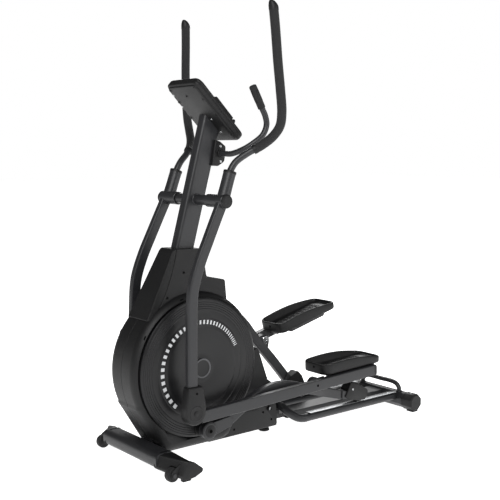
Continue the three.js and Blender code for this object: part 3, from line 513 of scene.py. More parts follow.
def add_front_bar():
    x, z = FRONT_BAR.x, FRONT_BAR.z
    piece("front_tube", sweep([(x, -184, z), (x, 184, z)], rect(80, 56, 25, 10), side=(1, 0, 0)), "paint",
          replaces=["front_bar"])
    root = rounded([(x - 43, 42), (x - 34, 84), (x - 10, 91), (x + 24, 91), (x + 43, 74), (x + 43, 44),
                    (x + 26, 31), (x - 30, 31)], [12, 12, 12, 14, 14, 12, 12, 12], 5)
    tip = rounded([(-208, 24), (-181, 72), (-150, 62), (-115, 33), (-118, 22), (-150, 8), (-184, 4),
                   (-203, 9)], [10, 8, 14, 6, 6, 10, 8, 8], 5)
    loops = []
    for share, inset in ((0, 1), (0.01, 0), (0.25, 0), (0.5, 0), (0.75, 0), (0.96, 0), (0.985, 0.9),
                         (1, 3)):
        ends = [Vector(a).lerp(Vector(b), share) for a, b in zip(root, tip)]
        loops.append([(px, -172 - 104 * share, pz) for px, pz in shrunk(ends, inset)])
    shape = loft(loops)
    wx, wz = WHEEL.x, WHEEL.z
    cheek = rounded([(wx - 13, wz - 11), (-196, 16), (-176, 34), (-200, 66), (wx - 13, wz + 13)],
                    [12, 8, 8, 8, 12], 6)
    fork = merge(prism(cheek, -258, -254), prism(cheek, -226, -222))
    tyre = [(9, -252), (21.5, -252), (24.3, -250.4), (25, -247), (25, -233), (24.3, -229.6), (21.5, -228),
            (9, -228), (7.5, -231), (6.4, -231), (6.4, -249), (7.5, -249)]
    caps = pair("front_cap_{}_shell", shape, "plastic", replaces=["front_cap_{}"], crease=40)
    well = merge(barrel(29, -255, -225, wx, wz, 1),
                 prism([(-300, -10), (wx, -10), (wx, wz + 33), (-300, wz + 33)], -255, -225))
    for cap, hand in zip(caps, SIDES.values()):
        carve(cap, well, BASE @ hand)
    pair("front_cap_{}_fork", fork, "plastic", bevel=0.8)
    pad = prism(rounded([(-202, 0), (-168, 0), (-168, 12), (-202, 12)], 2), -272, -257)
    pair("front_cap_{}_pad", pad, "rubber")
    pin = merge(barrel(5.5, -260, -220, wx, wz), barrel(8, -261.5, -258, wx, wz, 1))
    pair("front_cap_{}_pin", pin, "paint")
    pair("transport_tyre_{}", revolve(tyre, wx, wz), "rubber", "transport_wheel_{}",
         replaces=["transport_wheel_{}"])


def carve(target, shape, place):
    """Cuts a shape out of a piece and keeps the result as its mesh."""
    cutter = add_object("cutter", build_mesh("cutter", shape, place))
    modifier = target.modifiers.new("carve", "BOOLEAN")
    modifier.object = cutter
    modifier.operation = "DIFFERENCE"
    modifier.solver = "EXACT"
    modifier.use_self = True
    bpy.context.view_layer.update()
    done = bpy.data.meshes.new_from_object(target.evaluated_get(bpy.context.evaluated_depsgraph_get()))
    target.modifiers.remove(modifier)
    target.data = done
    bpy.data.objects.remove(cutter)


def add_centre_foot():
    pad = [(0.5, 0), (21, 0), (23, 2), (21, 9), (14, 12), (9, 13), (9, 22), (0.5, 22)]
    stem = [(0.5, 22), (6, 22)] + [(6 - 0.8 * (k % 2), 23 + 1.5 * k) for k in range(14)] + [(0.5, 44.5)]
    upright = Matrix.Translation((392, 0, 6)) @ Matrix.Rotation(pi / 2, 4, "X")
    shape = merge(moved(revolve(pad, steps=40), upright), moved(revolve(stem, steps=32), upright))
    piece("levelling_foot", shape, "rubber", replaces=["centre_foot"])


# ---- mast and swing axle
def add_mast():
    tilt = Matrix.Translation(AXLE) @ Matrix.Rotation(MAST_TILT, 4, "Y")
    run = (tilt.to_3x3() @ Vector((0, 0, 1))).normalized()
    console_plane = CONSOLE.x + CONSOLE.z + 1.5
    start, end = [], []
    for b, a in rect(84, 44, 15, 8):
        foot = tilt @ Vector((b - 3.4, a, -395))
        start.append(foot)
        travel = (console_plane - foot.x - foot.z) / (run.x + run.z)
        end.append(foot + run * travel)
    piece("mast_tube", loft([start, end]), "paint", replaces=["mast"])
    tube = barrel(19.5, -96, 96, AXLE.x, AXLE.z, 1.0)
    piece("cross_tube", tube, "paint")
    weld = [collar(23, 18, y, y + 4, AXLE.x, AXLE.z, 1.8) for y in (-26.5, 22.5)]
    piece("cross_tube_welds", merge(*weld), "paint")


def add_axle_caps():
    face = -SLEEVE_END
    profile = [(0.01, face - 8), (12, face - 8), (20, face - 7), (24, face - 5), (25.5, face - 2),
               (25.5, face - 0.6), (0.01, face - 0.6)]
    cap = revolve(profile, AXLE.x, AXLE.z, ring=False)
    for side, hand in SIDES.items():
        # one node holds the axle with both of its caps, so only one piece stands for it
        nodes = ["swing_axle"] if side == "left" else []
        piece(f"axle_cap_{side}", cap, "plastic", place=BASE @ hand, replaces=nodes)


# ---- covers
def polar_outline(corners, inset):
    """The drum's circle with its angular skirt, as points round the crank axis."""
    outline = []
    for i in range(DRUM_STEPS):
        angle = 2 * pi * i / DRUM_STEPS
        run = Vector((cos(angle), sin(angle)))
        reach = DRUM_R
        for (ax, az), (bx, bz) in zip(corners, corners[1:]):
            a, edge = Vector((ax, az - CRANK_Z)), Vector((bx - ax, bz - az))
            cross = run.x * edge.y - run.y * edge.x
            if abs(cross) < 1e-9:
                continue
            far = (a.x * edge.y - a.y * edge.x) / cross
            share = (a.x * run.y - a.y * run.x) / cross
            if -1e-6 <= share <= 1 + 1e-6 and far > reach:
                reach = far
        outline.append(((reach - inset) * run.x, CRANK_Z + (reach - inset) * run.y))
    return outline


SKIRT = [(-262, 226), (-240, 192), (-149, 46), (-141, 42), (-130, HOUSING_LOW), (120, HOUSING_LOW),
         (150, 52), (214, 159)]


def add_housing():
    def circle(radius, y):
        return [(x, y, CRANK_Z + z) for x, z in disc_section(radius, DRUM_STEPS)]

    def rim(share):
        """A loop on the rounded edge, from the wall at 0 to the lip of the disc's opening at 1."""
        points = []
        for x, z in polar_outline(SKIRT, 0):
            reach = hypot(x, z - CRANK_Z)
            depth = min(DRUM_ROUND, reach - DISC_HOLE_R - 1)
            turn = share * acos(1 - depth / DRUM_ROUND)
            shrink = 1 - DRUM_ROUND * (1 - cos(turn)) / reach
            points.append((x * shrink, -DRUM_HALF + DRUM_ROUND * (1 - sin(turn)),
                           CRANK_Z + (z - CRANK_Z) * shrink))
        return points

    seam = [[(x, y, z) for x, z in polar_outline(SKIRT, inset)] for inset, y in ((1.2, -0.4), (0, -1.4))]
    lip = -DRUM_HALF + 6.6
    shell = loft([*seam, *[rim(k / 12) for k in range(13)],
                  circle(DISC_HOLE_R, lip + 1), circle(DISC_HOLE_R, lip + 8)])
    tail_corners = [(60, HOUSING_LOW), (402, HOUSING_LOW), (402, 92), (396, 140), (384, 208), (370, 230),
                    (352, 240), (298, 384), (200, 300)]
    tail_outline = rounded(tail_corners, [0, 8, 30, 60, 14, 10, 30, 10, 0], 6)
    layers = ((0, -0.4), (0, -TAIL_HALF + 7), (1.6, -TAIL_HALF + 2.6), (6, -TAIL_HALF))
    tail = loft([[(x, y, z) for x, z in shrunk(tail_outline, inset)] for inset, y in layers])
    crease = prism([(214, 121), (308, 122), (306, 126), (216, 125)], -TAIL_HALF - 1.2, -TAIL_HALF + 1)
    pair("drum_{}", shell, "plastic", replaces=["housing_{}"], crease=40)
    pair("tail_{}", merge(tail, crease), "plastic", bevel=0.5)
    for i, (x, z) in enumerate(((328, 109), (372, 72), (180, 66)), 1):
        pair("tail_screw_{}_" + str(i), screw((x, -TAIL_HALF + 0.2, z), (0, -1, 0), 4.6, 1.6), "dark")
    clip = prism(rect(15, 3.4, 1.6), -85, -78)
    for i, degrees in enumerate((149, 105, 52), 1):
        angle = radians(degrees)
        turn = Matrix.Translation((CLIP_R * cos(angle), 0, CRANK_Z + CLIP_R * sin(angle)))
        turn = turn @ Matrix.Rotation(pi / 2 - angle, 4, "Y")
        pair("drum_clip_{}_" + str(i), moved(clip, turn), "dark")


def boot_half(z):
    return 66 - (z - 550) * 0.085


def wedge(outline):
    """An outline across the machine whose width shrinks with height."""
    return loft([[(x, side * boot_half(z), z) for x, z in outline] for side in (-1, 1)])


def add_boot():
    # the seam between the two covers is a shallow curve
    seam = smooth_line([(-66, 0, 793), (-78, 0, 751), (-106, 0, 676), (-140, 0, 610), (-186, 0, 541)], 5)
    front = [tuple(p.xz) for p in smooth_line([(-213, 0, 541), (-152, 0, 657), (-85.5, 0, 783)], 1)]
    nose = rounded([*front, (-76, 793), *[tuple(p.xz) for p in seam]],
                   [4, 0, 12, 8] + [0] * len(seam), 5)
    main = rounded([*[(p.x + 1.4, p.z) for p in reversed(seam)], (51, 789), (63, 682), (149, 663),
                    (153, 566), (100, 610), (0, 634), (-90, 612), (-150, 562)],
                   [0] * len(seam) + [8, 10, 12, 6, 30, 60, 60, 10], 6)
    piece("nose_strip", wedge(nose), "plastic", bevel=4, steps=4, replaces=["nose_cover"])
    piece("boot_shell", wedge(main), "plastic", bevel=5, steps=4, replaces=["boot_cover"])
    for i, (x, z) in enumerate(((-41, 704), (-120, 617), (40, 700)), 1):
        wall = -boot_half(z)
        pair("boot_well_{}_" + str(i), collar(7.5, 5.2, wall - 0.8, wall + 2, x, z, 0.6, 36), "plastic")
        pair("boot_screw_{}_" + str(i), screw((x, wall + 0.4, z), (0, -1, -0.08), 4.8, 1.4), "dark")


# ---- crank discs
def add_discs():
    face = DISC_FACE
    steps = [(0.01, 3), (44, 3), (46, 2.4), (60, 2.4), (62, 3), (150, 3), (156, 2.6), (162, 0.2), (164, 0),
             (184, 0), (186, -0.6), (189, -2), (214, -2), (216, -2.8), (218, -2)]
    for k in range(4):
        r = 223 + 8 * k
        steps += [(r, -2.2 - 0.5 * k), (r + 1.5, -3.2 - 0.5 * k), (r + 4.5, -3.2 - 0.5 * k),
                  (r + 6, -2.4 - 0.5 * k)]
    steps += [(256, -5), (260, -6.4), (DISC_R, -8), (DISC_R, -9.6), (DISC_R - 1, -16)]
    profile = [(r, -face - rise) for r, rise in steps] + [(DISC_R - 8, -89), (DISC_R - 9, -95), (0.01, -95)]
    disc = revolve(profile, 0, CRANK_Z, 180)
    hub = revolve([(0.01, -112), (30, -112), (32, -112.4), (37, -112.4), (38, -108), (0.01, -108)],
                  0, CRANK_Z)
    hub_ring = collar(37.4, 31.4, -113.4, -111.6, 0, CRANK_Z, 0.5)
    pair("disc_{}", disc, "disc", "crank", replaces=["crank_disc_{}"], crease=24)
    pair("hub_{}", hub, "disc", "crank")
    pair("hub_ring_{}", hub_ring, "hub", "crank")
    pair("ticks_{}", ticks(face), "ink", "crank")


TICK_MIDDLE, TICK_LENGTH, TICK_COUNT = 173.5, 15, 36


def ticks(face):
    """Printed marks that run clockwise from the lower left, wide at first and then finer."""
    marks = []
    start, end = radians(226), radians(23)
    for i in range(TICK_COUNT):
        share = i / (TICK_COUNT - 1)
        width = 12.5 * (1 - share) ** 1.3 + 2.8
        at = start + (end - start) * (1.6 * share - 0.6 * share ** 2)
        turn = Matrix.Translation((0, 0, CRANK_Z)) @ Matrix.Rotation(-at, 4, "Y")
        mark = prism([(x + TICK_MIDDLE, z) for x, z in rect(TICK_LENGTH, width, 0)], -face - 0.35,
                     -face + 0.2)
        marks.append(moved(mark, turn))
    return merge(*marks)


def add_crank_pins():
    profile = [(0.01, -121.6), (26, -121.6), (30, -119.5), (30, -108), (31.5, -106), (31.5, -103.4),
               (0.01, -103.4)]
    for side, hand in SIDES.items():
        z = CRANK_Z + (CRANK_R if side == "right" else -CRANK_R)
        piece(f"pin_sleeve_{side}", revolve(profile, 0, z), "plastic", "crank", place=BASE @ hand,
              replaces=[f"crank_pin_{side}"])


# ---- levers and handles
SOCKET = Matrix.Translation((4, -176, 0)) @ Matrix.Rotation(0.32, 4, "Y")


def socket_point(height):
    return SOCKET @ Vector((0, 0, height))


HANDLE_KNOTS = [
    socket_point(60), socket_point(112), (61, -180, 140), (101, -198, 172), (142, -232, 202),
    (168, -265, 234), (179, -292, 272), (177, -304, 320), (169, -305, 400), (161, -300, 500),
    (155, -294, 610), (149, -289, 694),
]


GRIP_START, GRIP_END = 0.2, 0.985           # fractions of the handle's length


def add_lever(side, place, body):
    make = fitter(side, place, body)
    knots = [(-5, -10), (-34, -70), (-67, -140), (-104, -220), (-131, -298), (-139, -350), (-141, -420),
             (-142, -534), (-142, -649), (-137, -724)]
    bar = sweep(smooth_line([(x, -LEVER_Y, z) for x, z in knots], 10), rect(25, 42, 8, 7))
    make("lever_{}_bar", bar, "paint", replaces=["lever_{}"])
    sleeve = collar(25, 19.8, -SLEEVE_END + 1.5, -98, 0, 0, 2)
    make("lever_{}_sleeve", sleeve, "paint")
    socket = sweep([SOCKET @ Vector((0, 0, h)) for h in (4, 20, 60, 108, 112, 113.5)],
                   disc_section(23.5, 48), scale=[1.06, 1.03, 1, 1, 1, 0.94])
    make("lever_{}_socket", socket, "paint", crease=50)
    lip = sweep([SOCKET @ Vector((0, 0, h)) for h in (104, 105, 112.6, 113.8)], disc_section(24.3, 48),
                scale=[0.97, 1, 1, 0.97])
    make("lever_{}_lip", lip, "plastic")

    x, z = LEVER_JOINT.x, LEVER_JOINT.z
    low_arc = arc(45, pi * 1.02, pi * 1.98, 18, x, z)
    outline = rounded([(x + 31, z + 99), (x - 31, z + 99), (x - 46, z + 20), *low_arc[1:-1],
                       (x + 46, z + 20)], [9, 9, 40] + [0.01] * (len(low_arc) - 2) + [40], 7)
    layers = ((3, -165.4), (0, -167.6), (0, -195), (1.6, -199.4), (5, -202.2), (9, -203))
    cover = loft([[(px, y, pz) for px, pz in shrunk(outline, inset)] for inset, y in layers])
    make("lever_{}_cover", cover, "plastic", replaces=["lever_cover_{}"])
    boss = revolve([(0.01, -205.4), (9, -205.4), (10, -204.8), (10, -203.4), (24, -203.8), (27, -204.4),
                    (29, -203), (29, -201.5), (0.01, -201.5)], x, z)
    make("lever_{}_boss", boss, "plastic")
    make("lever_{}_cover_screw", screw((x + 2, -202.8, z + 74), (0, -1, 0), 4.2, 1.6), "dark")


def add_handle(side, place, body):
    make = fitter(side, place, body)
    line = smooth_line([socket_point(100), *HANDLE_KNOTS[1:]], 12)
    tube_line = cut_line(line, 0, GRIP_END)
    make("handle_{}_tube", sweep(tube_line, disc_section(12.7)), "paint", replaces=["handle_{}"], soft=True)
    grip_line = cut_line(line, GRIP_START, GRIP_END)
    ramp = [0.86] + [1.0] * (len(grip_line) - 1)
    grip = sweep(grip_line, disc_section(17.2, 40), scale=ramp)
    make("grip_{}_foam", grip, "rubber", replaces=["grip_{}"], crease=60)
    ring = cut_line(line, GRIP_START - 0.008, GRIP_START + 0.01)
    make("grip_{}_ring", sweep([ring[0], ring[-1]], disc_section(17.8, 48)), "plastic", bevel=1)
    tip = line[-1]
    run = (line[-1] - line[-6]).normalized()
    shape = []
    for lift, radius, lean in ((-14, 17.6, 0), (-12, 18, 0), (-4, 18, 0), (2, 17.4, 0.6), (9, 15.2, 2.2),
                               (15, 12, 4.4), (19.6, 8.4, 6.4), (22, 3.5, 8)):
        shape.append([tip + run * lift + Vector((a - lean, b, 0)) for a, b in disc_section(radius, 40)])
    make("grip_{}_end", loft(shape), "plastic")


# ---- pedal bars and footplates
def add_pedal_bar(side, place, body):
    bar_place = place @ Matrix.Rotation(-BAR_LEAN, 4, "Y") @ Matrix.Translation((0, 0, -BAR_DROP))
    make, on_bar = fitter(side, place, body), fitter(side, bar_place, body)
    bar = sweep([(30, -LEVER_Y, 0), (BAR_END, -LEVER_Y, 0)], rect(26, 45, 5, 6))
    on_bar("bar_{}_tube", bar, "paint", replaces=["pedal_bar_{}"])
    ends = [(BAR_END + reach, -LEVER_Y, 0) for reach in (-6, 0, 6, 10)]
    plug = sweep(ends, rect(26.6, 45.6, 7, 6), scale=[1, 1, 0.95, 0.8])
    on_bar("bar_{}_plug", plug, "plastic")
    on_bar("bar_{}_mark", screw((606, -195, 1), (0, -1, 0), 5, 1.6), "dark")
    pivot = merge(barrel(21, -170, -153, BAR_PIVOT, 0, 2), barrel(14, -154, -123, BAR_PIVOT, 0, 1.5))
    make("bar_{}_pivot", pivot, "paint")
    cheek = prism(rounded([(BAR_PIVOT - 30, 22), (BAR_PIVOT - 22, -14), (BAR_PIVOT, -23),
                           (BAR_PIVOT + 22, -14), (BAR_PIVOT + 30, 26)], [2, 20, 24, 20, 2], 6), -169, -163)
    make("bar_{}_cheek", cheek, "paint", bevel=1)
    washer = merge(collar(17.5, 8, -124.5, -118.6, BAR_PIVOT, 0, 1.2),
                   barrel(8.4, -124, -121, BAR_PIVOT, 0, 1))
    make("bar_{}_washer", washer, "chrome")


PEDAL_FRONT, PEDAL_LENGTH, PEDAL_Y = 667, 325, -110
PEDAL_MIDDLE, PEDAL_WIDTH, PEDAL_FLOOR = PEDAL_FRONT + PEDAL_LENGTH / 2, 148, 38
RING_POINTS = 160


def pedal_loop(inset, height):
    """The footplate's plan, drawn in by inset, each point at the height that the function gives."""
    plan = rect(PEDAL_LENGTH + 8 - 2 * inset, PEDAL_WIDTH - 2 * inset, max(40 - inset, 12), 10)
    dense = []
    for (ax, ay), (bx, by) in zip(plan, plan[1:] + plan[:1]):
        parts = max(1, int(hypot(bx - ax, by - ay) / 12))
        dense += [(ax + (bx - ax) * k / parts, ay + (by - ay) * k / parts) for k in range(parts)]
    return [Vector((PEDAL_MIDDLE + x, PEDAL_Y + y, height(PEDAL_MIDDLE + x))) for x, y in dense]


def rim_height(x):
    """The rim rises from the toe corner to a crest and falls away behind the heel."""
    share = min(1.0, max(0.0, (x - PEDAL_FRONT) / PEDAL_LENGTH))
    return 68 + 7 * sin(pi * min(1.0, share / 0.9)) - 16 * share ** 3


def pedal_ring(inset, height):
    """Like pedal_loop, but evenly spaced, with a fixed number of points, so that rings can be joined."""
    loop = pedal_loop(inset, height)
    lengths = [0.0]
    for a, b in zip(loop, loop[1:] + loop[:1]):
        lengths.append(lengths[-1] + (b - a).length)
    ring, k = [], 0
    for i in range(RING_POINTS):
        want = lengths[-1] * i / RING_POINTS
        while lengths[k + 1] < want:
            k += 1
        a, b = loop[k], loop[(k + 1) % len(loop)]
        p = a.lerp(b, (want - lengths[k]) / max(lengths[k + 1] - lengths[k], 1e-9))
        ring.append((p.x, p.y, height(p.x)))
    return ring


def add_pedal(side, place, body):
    plate_place = place @ Matrix.Rotation(-BAR_LEAN, 4, "Y") @ Matrix.Translation((0, 0, 0.5 - BAR_DROP))
    make = fitter(side, plate_place, body)

    def flat(level):
        return lambda x: level

    def rim(drop):
        return lambda x: rim_height(x) - drop

    layers = [(14, flat(25)), (5, flat(25)), (1.5, flat(27)), (0, flat(32)), (0, rim(6)), (1, rim(2.5)),
              (3, rim(0.6)), (5, rim(0)), (7, rim(0.8)), (8.4, rim(3)), (10, rim(8)),
              (13, flat(PEDAL_FLOOR + 6)), (17, flat(PEDAL_FLOOR + 1.4)), (22, flat(PEDAL_FLOOR))]
    tray = loft([pedal_ring(inset, height) for inset, height in layers])
    make("pedal_{}_tray", tray, "plastic", replaces=["pedal_{}"], crease=50)
    ribs = []
    for row in range(9):
        y = PEDAL_Y + (row - 4) * 11.5
        reach = PEDAL_LENGTH / 2 - 34 - abs(row - 4) * 2.0
        pitch = 2 * reach / 10
        for k in range(10):
            a, b = PEDAL_MIDDLE - reach + k * pitch + 1.5, PEDAL_MIDDLE - reach + (k + 1) * pitch - 3
            corners = [(a, y - 3.2), (b, y - 3.2), (b, y + 3.2), (a, y + 3.2)]
            ribs.append(plate(rounded(corners, 2.4, 3), PEDAL_FLOOR - 0.4, PEDAL_FLOOR + 1.7))
    make("pedal_{}_tread", merge(*ribs), "tread", bevel=0.5, steps=1)
    toe, heel = PEDAL_FRONT + 36, PEDAL_FRONT + PEDAL_LENGTH - 30
    bracket = prism(rounded([(toe, 25), (heel, 25), (heel, 8), (heel - 20, -12), (toe + 14, -12), (toe, 0)],
                            [1, 1, 8, 8, 8, 8]), -168.4, -140)
    wing = prism(rounded([(toe + 14, 25), (heel - 16, 25), (heel - 32, 6), (toe + 30, 6)], [1, 1, 10, 10]),
                 -142, -62)
    make("pedal_{}_bracket", merge(bracket, wing), "paint", bevel=1.5)
    for i, x in enumerate((742, 900), 1):
        make("pedal_{}_screw_" + str(i), screw((x, -120, 26), (0, 0, -1), 5, 1.5), "steel")
    make("pedal_{}_toe_screw", screw((PEDAL_FRONT - 3.4, PEDAL_Y, 52), (-1, 0, 0), 5, 2), "dark")


# ---- roller arms
def add_roller_arm(side, place, body, wheel_body):
    make = fitter(side, place, body)
    layer = -141
    knots = [(0, layer, 0), (95, layer, 22), (150, layer, 54), (205, layer, 82), (270, layer, 104),
             (340, layer, 115), (410, layer, 107), (490, layer + 2, 84), (560, layer + 14, 63),
             (620, -116, 45), (715, -113, 20), (760, -113, 8)]
    bar = sweep(smooth_line(knots, 9), rect(27, 40, 6, 6))
    make("arm_{}_bar", bar, "paint", replaces=["roller_arm_{}"])
    eye = collar(31, 12, -160, -127, 0, 0, 2.5)
    collars = merge(eye, collar(33, 12, -158, -153, 0, 0, 1), collar(33, 12, -136, -129, 0, 0, 1))
    make("arm_{}_eye", collars, "paint")
    cap = revolve([(0.01, -164), (9, -164), (11, -163), (11, -161.6), (21, -161.4), (23, -160.6),
                   (23, -159), (0.01, -159)])
    make("arm_{}_eye_cap", cap, "plastic")
    make("arm_{}_eye_bolt", screw((0, -163.8, 0), (0, -1, 0), 7, 2.4), "dark")
    gusset = prism(rounded([(10, -26), (102, 2), (120, 22), (96, 40), (0, 27)], [4, 14, 14, 14, 10]),
                   -156, -127)
    make("arm_{}_gusset", gusset, "paint", bevel=2)
    lug = prism(rounded([(ARM_ALONG - 46, 84), (ARM_ALONG - 22, ARM_ABOVE + 12),
                         (ARM_ALONG, ARM_ABOVE + 24), (ARM_ALONG + 22, ARM_ABOVE + 12),
                         (ARM_ALONG + 46, 60)], [2, 22, 24, 22, 2], 7), -151, -126)
    make("arm_{}_lug", lug, "paint", bevel=2)
    ring = collar(17, 11, -152.4, -150, ARM_ALONG, ARM_ABOVE, 0.8)
    make("arm_{}_bushing", ring, "chrome")
    tine = rounded([(716, 2), (716, 36), (ARM_LENGTH, 13), (ARM_LENGTH + 12, 0), (ARM_LENGTH, -12)],
                   [2, 2, 12, 12, 12])
    fork = merge(prism(tine, -131, -128.4), prism(tine, -97.6, -95), barrel(7, -133, -93, ARM_LENGTH, 0, 1))
    make("arm_{}_fork", fork, "paint")

    x = ARM_LENGTH
    outline = rounded([(x - 94, 8), (x - 62, 69), (x - 27, 62), (x + 43, 22), (x + 45, 4), (x + 26, -21),
                       (x - 20, -18), (x - 62, -9)], [8, 12, 12, 12, 8, 10, 12, 12], 6)
    layers = ((4, -90), (0, -93), (0, -133), (1.6, -135.6), (5, -137))
    cover = loft([[(px, y, pz) for px, pz in shrunk(outline, inset)] for inset, y in layers])
    made = make("roller_cover_{}_shell", cover, "plastic", replaces=["roller_cover_{}"])
    hollow = prism([(x - 110, -60), (x + 60, -60), (x + 60, -2), (x + 30, 14), (x - 60, 40), (x - 110, 10)],
                   -131.5, -94.5)
    carve(made, hollow, place)
    make("roller_cover_{}_screw", screw((x - 50, -136.6, 36), (0, -1, 0), 4.4, 1.6), "steel")
    tyre = [(7.2, -126), (12, -127.6), (21, -127.6), (23.6, -126), (24.5, -123), (24.5, -103), (23.6, -100),
            (21, -98.4), (12, -98.4), (7.2, -100)]
    fitter(side, place, wheel_body)("roller_{}_tyre", revolve(tyre, ARM_LENGTH, 0), "rubber",
                                    replaces=["roller_{}"])


def add_side(side, hand):
    pose = linkage(CRANK_ANGLE[side])
    lever, bar, arm = (BASE @ hand @ pose[name] for name in ("lever", "bar", "arm"))
    add_lever(side, lever, f"swing_{side}")
    add_handle(side, lever, f"swing_{side}")
    add_pedal_bar(side, bar, f"pedal_arm_{side}")
    add_pedal(side, bar, f"pedal_arm_{side}")
    add_roller_arm(side, arm, f"roller_arm_{side}", f"roller_{side}")


# ---- console and fixed bars
TILT = Matrix.Translation(CONSOLE) @ Matrix.Rotation(pi / 4, 4, "Y")
CONSOLE_LENGTH, CONSOLE_WIDTH = 296, 200
SCREEN_X, SCREEN_LENGTH, SCREEN_WIDTH = -88, 80, 140
KEY_X = 116
KEYS = {"down_key": -44, "start_key": 0, "up_key": 44}


def tray(layers):
    """Stacks rounded rectangles of (length, width, corner radius, height)."""
    loops = []
    for length, width, radius, height in layers:
        loops.append([(x, y, height) for x, y in rect(length, width, radius, 10)])
    return loft(loops)


def add_console():
    place = BASE @ TILT
    make = fitter("", place)
    length, width = CONSOLE_LENGTH, CONSOLE_WIDTH
    back = tray([(length - 30, width - 30, 18, 0), (length - 24, width - 24, 20, 0.8),
                 (length - 21, width - 21, 21, 3), (length - 20, width - 20, 22, 5.5),
                 (length - 12, width - 12, 24, 6.2), (length - 5, width - 5, 27, 9),
                 (length - 1.2, width - 1.2, 30, 13), (length, width, 31, 18),
                 (length - 1.4, width - 1.4, 30, 19.8)])
    make("console_back_shell", back, "plastic", replaces=["console_back"], crease=50)
    wells = [(-130, -79), (-92, 5), (-70, -76), (-65, 82), (-124, 79), (14, 84), (7, -84), (107, -84),
             (100, 80)]
    for i, (x, y) in enumerate(wells, 1):
        ring = moved(collar(6.2, 3.6, -0.9, 1.2, 0, 0, 0.5, 32), Matrix.Translation((x, y, 0)) @
                     Matrix.Rotation(pi / 2, 4, "X") @ Matrix.Scale(-1, 4, (0, 1, 0)))
        make(f"console_well_{i}", ring, "plastic")
        make(f"console_screw_{i}", screw((x, y, 0.4), (0, 0, -1), 3.4, 0.8), "dark")
    for i, (x, y) in enumerate(((-100, 82), (-43, 84)), 1):
        make(f"console_pilot_{i}", screw((x, y, 0.6), (0, 0, -1), 3.6, 1.4, False), "ink")
    for i, (x, y) in enumerate(((27, -34), (87, 30), (93, -32)), 1):
        make(f"console_bolt_{i}", screw((x, y, 0.4), (0, 0, -1), 4.4, 2.2), "chrome")

    front = tray([(length - 1.4, width - 1.4, 30, 20.3), (length, width, 31, 21), (length, width, 31, 29),
                  (length - 3, width - 3, 30, 32.4), (length - 10, width - 10, 26, 34)])
    make("console_front_shell", front, "plastic", replaces=["console_front"], crease=50)
    rest = moved(tray([(130, 168, 6, 33), (130, 168, 6, 46), (125, 164, 6, 52), (114, 154, 5, 54)]),
                 Matrix.Translation((25, 0, 0)))
    rest_piece = make("tablet_rest", rest, "plastic", crease=40)
    carve(rest_piece, moved(prism([(-5, 44), (5, 44), (5, 70), (-5, 70)], -95, 95),
                            Matrix.Translation((75, 0, 0))), place)
    bezel = moved(tray([(SCREEN_LENGTH + 14, SCREEN_WIDTH + 14, 8, 33),
                        (SCREEN_LENGTH + 14, SCREEN_WIDTH + 14, 8, 35),
                        (SCREEN_LENGTH + 8, SCREEN_WIDTH + 8, 6, 36)]),
                  Matrix.Translation((SCREEN_X, 0, 0)))
    make("screen_bezel", bezel, "disc")
    glass = moved(tray([(SCREEN_LENGTH, SCREEN_WIDTH, 4, 33), (SCREEN_LENGTH, SCREEN_WIDTH, 4, 36.4)]),
                  Matrix.Translation((SCREEN_X, 0, 0)))
    make("screen_glass", glass, "screen", bevel=0.4, replaces=["console_display"])
    for name, y in KEYS.items():
        top = moved(tray([(19, 27, 4, 27), (19, 27, 4, 35.6), (16.6, 24.6, 3.4, 37)]),
                    Matrix.Translation((KEY_X, y, 0)))
        piece(f"{name}_cap", top, "key", name, place=place, replaces=[name])
        well = moved(tray([(25, 33, 6, 33.6), (25, 33, 6, 34.3), (23.6, 31.6, 5, 34.6)]),
                     Matrix.Translation((KEY_X, y, 0)))
        make(f"{name}_well", well, "dark")


ROOT_X, ROOT_Z = 146, 1144


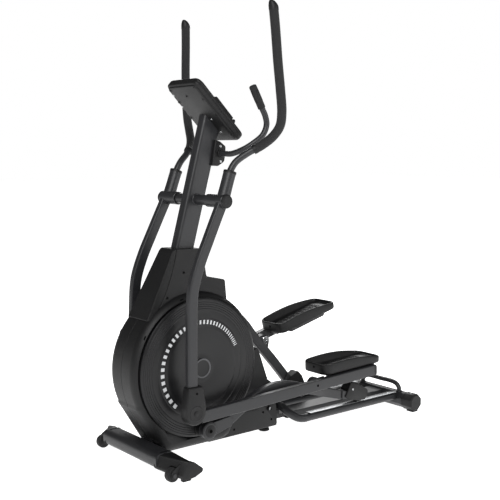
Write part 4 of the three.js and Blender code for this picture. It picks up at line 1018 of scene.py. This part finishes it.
def add_pulse_bar():
    half = [(188, -180, 1385), (228, -180, 1315), (247, -180, 1280), (252, -180, 1250), (238, -176, 1214),
            (203, -161, 1182), (172, -132, 1157), (154, -90, 1143), (147, -54, ROOT_Z),
            (ROOT_X, -34, ROOT_Z)]
    line = smooth_line(across(half, (ROOT_X, 0, ROOT_Z)), 9)
    piece("pulse_bar_tube", sweep(line, disc_section(11.1)), "paint", replaces=["pulse_bar"], soft=True)
    top, foot = Vector((183.5, -180, 1393)), Vector((229.5, -180, 1311.8))
    core = [foot.lerp(top, t) for t in (0, 0.02, 0.94, 0.97, 0.99, 1)]
    sleeve = sweep(core, disc_section(14.4, 48), scale=[0.9, 1, 1, 0.95, 0.82, 0.55])
    pair("pulse_grip_{}_sleeve", sleeve, "rubber", replaces=["pulse_grip_{}"])
    contact = sweep([foot.lerp(top, t) for t in (0.3, 0.31, 0.79, 0.8)], disc_section(14.9, 48),
                    scale=[0.97, 1, 1, 0.97])
    pair("pulse_contact_{}", contact, "plastic")


def add_clamp():
    outline = rounded([(122, 1196), (146, 1190), (172, 1172), (171, 1150), (158, 1144), (169, 1132),
                       (164, 1112), (136, 1096), (106, 1100)], [2, 16, 14, 10, 4, 10, 14, 14, 2], 7)
    layers = ((5, -36), (1.5, -34), (0, -31), (0, 31), (1.5, 34), (5, 36))
    cover = loft([[(x, y, z) for x, z in shrunk(outline, inset)] for inset, y in layers])
    piece("clamp_cover", cover, "plastic", replaces=["bar_clamp"])
    for i, z in enumerate((1172, 1114), 1):
        piece(f"clamp_screw_{i}", screw((146, -35.6, z), (0, -1, 0), 4.6, 1.8), "steel")
    pair("clamp_ring_{}", collar(15, 11, -42, -35, ROOT_X, ROOT_Z, 1.2), "plastic")


def add_inlet():
    face = -TAIL_HALF
    shell = collar(10.5, 6.5, face - 8, face + 1, 360, 120, 1)
    pin = merge(barrel(6.6, face - 4, face + 1, 360, 120, 0.5),
                barrel(1.4, face - 7, face - 2, 360, 120, 0.4))
    piece("inlet_ring", shell, "plastic", replaces=["power_inlet"])
    piece("inlet_pin", pin, "steel")


def finish_inner_parts():
    """The sealed drive parts keep their frame shapes and get a finish."""
    inner = {"crank_axle": "steel", "drive_pulley": "plastic", "flywheel": "steel", "drive_belt": "rubber",
             "magnet_bracket": "steel", "servo_motor": "plastic"}
    for node, finish in inner.items():
        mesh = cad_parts[node].data
        mesh.materials.clear()
        mesh.materials.append(LOOKS[finish])


add_camera()
add_studio()
add_frame()
add_rear_bar()
add_front_bar()
add_centre_foot()
add_mast()
add_axle_caps()
add_housing()
add_boot()
add_discs()
add_crank_pins()
for side_name, side_hand in SIDES.items():
    add_side(side_name, side_hand)
add_console()
add_pulse_bar()
add_clamp()
add_inlet()
finish_inner_parts()
